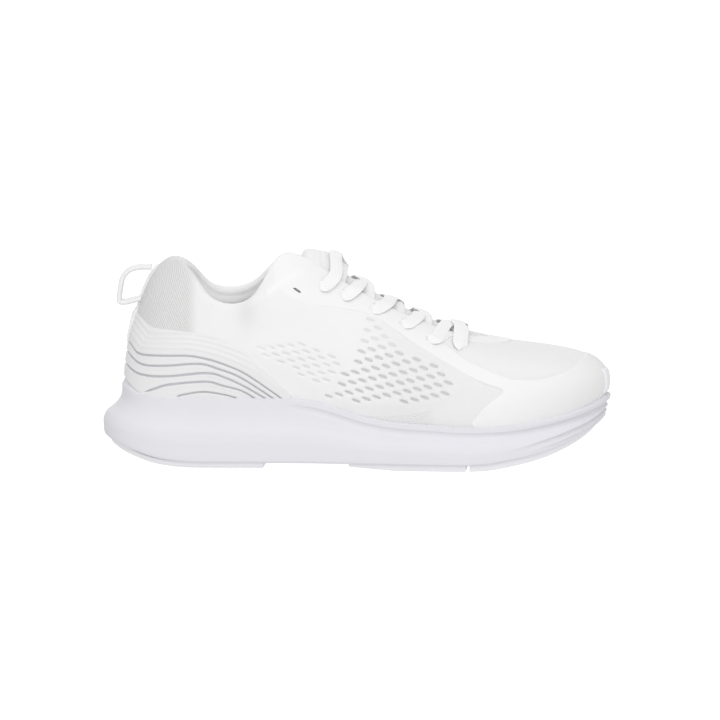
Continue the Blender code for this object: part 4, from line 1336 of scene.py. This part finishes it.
def strap(route, facing, width, thick, swell=0.0, steps=14):
    """Points, faces and texture places of a flat tape with rounded edges along a route."""
    route, facing = np.asarray(route, float), np.asarray(facing, float)
    tangent = unit(np.gradient(route, axis=0))
    side = unit(np.cross(facing, tangent))
    up = np.cross(tangent, side)
    angles = np.linspace(0, 2 * math.pi, 2 * steps, endpoint=False)
    across, level = power_sign(np.cos(angles), 0.75), power_sign(np.sin(angles), 0.55)
    half = np.broadcast_to(np.asarray(width, float), len(route))[:, None] * across / 2
    rise = level * thick / 2 + swell * (1 - across**2)
    rings = route[:, None, :] + side[:, None, :] * half[..., None] + up[:, None, :] * rise[None, :, None]
    count, size = rings.shape[:2]
    uv = np.stack([half, np.repeat(arc_lengths(route, 0)[:, None], size, 1)], -1)
    faces = grid_faces(count, size, False, True)
    faces += [list(range(size)), list(range((count - 1) * size, count * size))]
    return rings.reshape(-1, 3), faces, uv.reshape(-1, 2)


def joined(parts):
    """Several (points, faces, uv) as one."""
    points, faces, places, start = [], [], [], 0
    for part_points, part_faces, part_uv in parts:
        points.append(part_points)
        faces += [[start + k for k in face] for face in part_faces]
        places.append(part_uv)
        start += len(part_points)
    return np.vstack(points), faces, np.vstack(places)


def on_skin(u, v, depth, half):
    """A point of the upper on the outer half (0) or the same on the inner half (1), and its normal."""
    u = u if half == 0 else 1 - u
    return layer(u, v, depth), normal_at(u, v)


def into_hole(hole_u, hole_v, next_u, next_v, half):
    """Points and facings of a lace's end that comes up out of an eyelet and lies down on the film."""
    low, normal = on_skin(hole_u, hole_v, 1.5, half)
    high, _ = on_skin(hole_u, hole_v, -0.5, half)
    lying, lying_normal = on_skin(next_u, next_v, -1.25, half)
    away = low - lying
    away -= normal * np.dot(away, normal)
    away /= np.linalg.norm(away)
    return [(low + away * 0.5, away), (high + away * 0.5, normal + away * 0.8), (lying, lying_normal)]


LACE_UP = np.array([0.3, 0, 0.95])


def lace_along(stops, width, swell):
    """Lace through (point, facing) stops; width gives its share of the full width along it."""
    route, facing = (smooth_route(list(part), 9) for part in zip(*stops))
    return strap(route, facing, LACE_WIDTH * width(np.linspace(0, 1, len(route))), LACE_THICK, swell)


def strand(row, half, above):
    """Lace from this side's hole over its edge and the tongue to under the opposite edge."""
    own, before = HOLES[row], HOLES[row - 1]
    (hole_u, hole_v), = uv_of([own])
    own_u, far_u = u_at(own[0] + 9.0, 1.0), u_at(before[0] - 1.0, 1.0)
    near_u = u_at(own[0] + 3.5, 0.93)
    x_mid = (own[0] + 7.0 + before[0]) / 2
    lift = 2.3 if above else 1.1
    y = 3.0 if half else -3.0
    stops = into_hole(hole_u, hole_v, (hole_u + near_u) / 2, hole_v + 0.012, half)
    point, normal = on_skin(own_u, 0.985, -2.0, half)
    stops.append((point + (-2.0, 0, 0), normal * 0.5 + (0.15, 0, 0.5)))
    for x, y_here, more in ((x_mid - 1.5, y * 1.4, 0.3), (x_mid + 2.0, -y, 0.0)):
        stops.append((np.array([x, y_here, crown_at(x) + lift + more]), LACE_UP))
    stops.append((on_skin(far_u, 0.975, 3.9, 1 - half)[0] + (0, 0, 0.6), LACE_UP))
    stops.append(on_skin(far_u + 0.002, 0.93, 4.6, 1 - half))
    return lace_along(stops, lambda share: 0.5 + 0.5 * ease(0.05, 0.3, share), 0.25)


def front_bar():
    """Lace straight across at the lowest row, into both of its holes."""
    hole_x = HOLES[0][0]
    (hole_u, hole_v), = uv_of([HOLES[0]])
    ends = []
    for half in (0, 1):
        stops = into_hole(hole_u, hole_v, hole_u - 0.0006, hole_v + 0.03, half)
        point, normal = on_skin(u_at(hole_x - 1.5, 1.0), 0.995, -3.4, half)
        ends.append(stops + [(point, normal * 0.4 + (0.1, 0, 0.6))])
    middle = (np.array([hole_x - 2.5, 0, crown_at(hole_x - 2.5) + 3.6]), LACE_UP)
    return lace_along(ends[0] + [middle] + ends[1][::-1],
                      lambda share: 1.15 - 0.5 * ease(0.65, 0.95, np.abs(2 * share - 1)), 0.5)


def build_lace():
    parts = [front_bar()]
    for row in range(1, len(HOLES)):
        over = row % 2
        parts += [strand(row, over, False), strand(row, 1 - over, True)]
    points, faces, uv = joined(parts)
    made = add_piece("lace_strands", points, faces, lace_look(), uv=uv, sharp=60)
    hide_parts("lace")


def stitches(name, route, normals, look, pitch=2.6, length=1.9, width=0.5):
    """A row of thread stitches along a route of surface points."""
    run = arc_lengths(route, 0)
    parts = []
    for mark in np.arange(pitch / 2, run[-1], pitch):
        stops = np.clip(mark + length * np.linspace(-0.5, 0.5, 5), 0, run[-1])
        line, face = (np.stack([np.interp(stops, run, column) for column in table.T], -1)
                      for table in (route, normals))
        line = line + face * np.array([-0.15, 0.22, 0.3, 0.22, -0.15])[:, None]
        parts.append(strap(line, face, width, width, steps=3))
    points, faces, uv = joined(parts)
    made = add_piece(name, points, faces, look, uv=uv)


TAPE_HALF, TAPE_LOW, TAPE_TOP, TAPE_LENGTH = 0.0075, 68.0, 112.5, 45.0  # half width in u, heights, length
STITCHES_U, STITCHES_LOW, STITCHES_TOP = 0.0052, 71.0, 109.0
BUMPER_START, BUMPER_END, BUMPER_TOP = 0.487, 0.517, 53.8  # in u, and height


def film_under(z):
    """How far the heel film lifts the centre-back strip at this height."""
    return HEEL_FILM * 0.9 * (1 - ease(84, 88.5, z))


def build_heel_tape():
    """Centre-back strip over the heel film."""
    us, rows = np.linspace(-TAPE_HALF, TAPE_HALF, 25), np.linspace(0, 1, 70)
    wide, vs = patch(us, lambda u: v_at(u, TAPE_LOW), lambda u: v_at(u, TAPE_TOP), rows)
    edge = np.minimum(from_ends(us), np.minimum(rows, 1 - rows)[None, :] * TAPE_LENGTH)
    face = 0.85 * dome(edge, 0.8) + film_under(surface(wide, vs)[..., 2]) + 0.04
    made = add_band("heel_tape", layer(wide, vs, -face), layer(wide, vs, 0.1), webbing_look("heel_tape", 1.0),
                    uv=cloth_uv(wide, vs), sharp=60)
    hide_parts("heel_strip")


def build_pull_loop():
    side_view = [(-117.6, 111.2), (-121, 111.4), (-126, 111), (-130.6, 109.2), (-133.9, 105.2),
                 (-135.2, 99.5), (-135.9, 94.2), (-135.4, 91.6), (-132.6, 91.3), (-129.3, 92),
                 (-126, 92.9), (-123.4, 93.5)]
    route = smooth_route([(x, 0, z) for x, z in side_view], 8)
    facing = np.cross(np.gradient(route, axis=0), (0, 1, 0))
    points, faces, uv = strap(route, facing, 12.0, 3.0, steps=12)
    made = add_piece("pull_loop", points, faces, webbing_look("pull_webbing", 1.15), uv=uv, sharp=60)
    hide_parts("pull_tab")


def build_stitches():
    """A row of stitches along each side of the centre-back strip."""
    thread = plain_look("thread", 0.7, 0.3, 0.2, (0.12,), grey(0.78), grey(0.90), (0.05, 0.6))
    for side, u in (("outer", STITCHES_U), ("inner", -STITCHES_U)):
        v = np.linspace(v_at(u, STITCHES_LOW), v_at(u, STITCHES_TOP), 40)
        line = layer(u, v, -0.75 - film_under(surface(u, v)[:, 2]))
        stitches(f"heel_tape_stitches_{side}", line, normal_at(u, v), thread)


def build_toe_bumper():
    us = np.linspace(BUMPER_START, BUMPER_END, 90)
    wide, vs = patch(us, lambda u: v_rim(u, 0.9), lambda u: v_at(u, BUMPER_TOP), np.linspace(0, 1, 44))
    rise = arc_lengths(surface(wide, vs), 1)
    edge = np.minimum(from_ends(us), np.minimum(rise, rise[:, -1:] - rise))
    made = add_band("toe_bumper_rubber", layer(wide, vs, -1.5 * dome(edge, 2.2) - 0.05), layer(wide, vs, 0.1),
                    rubber_look("bumper_rubber"), sharp=60)
    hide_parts("toe_bumper")


# ------------------------------------------------------------------ studio, in metres

CAMERA_DISTANCE, ELEVATION = 3.0, 7.0
VIEW_WIDTH, VIEW_HEIGHT, AIM_FORWARD = 0.410, 0.0579, 0.0009
SENSOR = 36
FLOOR_RADIUS, FLOOR_DROP = 6, 0.0004
FLOOR_GLOW, WORLD_GLOW = (0.75, 1.02), (0.66, 1.05)  # the light given, and the brightness seen


def glow(tree, strength, as_light, as_seen):
    """Two strengths for a backdrop: the light that it gives, and how bright it looks."""
    path = tree.nodes.new("ShaderNodeLightPath")
    level = tree.nodes.new("ShaderNodeMapRange")
    set_inputs(level.inputs, {"To Min": as_light, "To Max": as_seen})
    tree.links.new(path.outputs["Is Camera Ray"], level.inputs["Value"])
    tree.links.new(level.outputs["Result"], strength)


def build_studio():
    (low_x, low_y, _), (high_x, high_y, _) = CAD_BOX
    middle = Vector(((low_x + high_x) / 2, (low_y + high_y) / 2, VIEW_HEIGHT))
    camera = new_object("camera", bpy.data.cameras.new("camera"))
    tilt = math.radians(ELEVATION)
    aim = middle + Vector((AIM_FORWARD, 0, 0))
    camera.location = aim + Vector((0, -math.cos(tilt), math.sin(tilt))) * CAMERA_DISTANCE
    camera.rotation_euler = (math.pi / 2 - tilt, 0, 0)
    camera.data.sensor_width = SENSOR
    camera.data.lens = SENSOR * CAMERA_DISTANCE / VIEW_WIDTH
    camera.data.clip_end = 50
    bpy.context.scene.camera = camera

    bpy.ops.mesh.primitive_circle_add(vertices=96, radius=FLOOR_RADIUS, fill_type="NGON",
                                      location=(0, 0, -FLOOR_DROP))
    floor = bpy.context.object
    floor.name = "studio_floor"
    paint = bpy.data.materials.new("studio_floor")
    paint.use_nodes = True
    shader = paint.node_tree.nodes["Principled BSDF"]
    set_inputs(shader.inputs, {"Base Color": (0.1, 0.1, 0.1, 1), "Roughness": 0.9, "Specular IOR Level": 0.0,
                               "Emission Color": (1, 1, 1, 1)})
    glow(paint.node_tree, shader.inputs["Emission Strength"], *FLOOR_GLOW)
    floor.data.materials.append(paint)

    world = bpy.data.worlds.new("studio")
    bpy.context.scene.world = world
    world.use_nodes = True
    tree = world.node_tree
    tree.nodes.clear()
    out = tree.nodes.new("ShaderNodeOutputWorld")
    back = tree.nodes.new("ShaderNodeBackground")
    back.inputs["Color"].default_value = (1, 1, 1, 1)
    glow(tree, back.inputs["Strength"], *WORLD_GLOW)
    tree.links.new(back.outputs["Background"], out.inputs["Surface"])

    for name, place, size, power in (
        ("key", (0.3, -2.0, 0.8), 1.3, 9.5),
        ("top", (-0.2, -1.0, 1.6), 1.6, 9.0),
        ("back", (-0.3, 1.9, 1.1), 1.4, 9.0),
    ):
        light = bpy.data.lights.new(name, "AREA")
        light.shape, light.size, light.energy = "DISK", size, power
        made = new_object(name, light)
        made.location = place
        made.rotation_euler = (middle - Vector(place)).to_track_quat("-Z", "Y").to_euler()
    bpy.context.scene.view_settings.view_transform = "Standard"


build_studio()
build_midsole()
build_outsole()
build_footbed()
build_upper()
build_heel_film()
build_toe_film()
build_lattices()
build_tongue()
build_lace()
build_heel_tape()
build_pull_loop()
build_stitches()
build_toe_bumper()
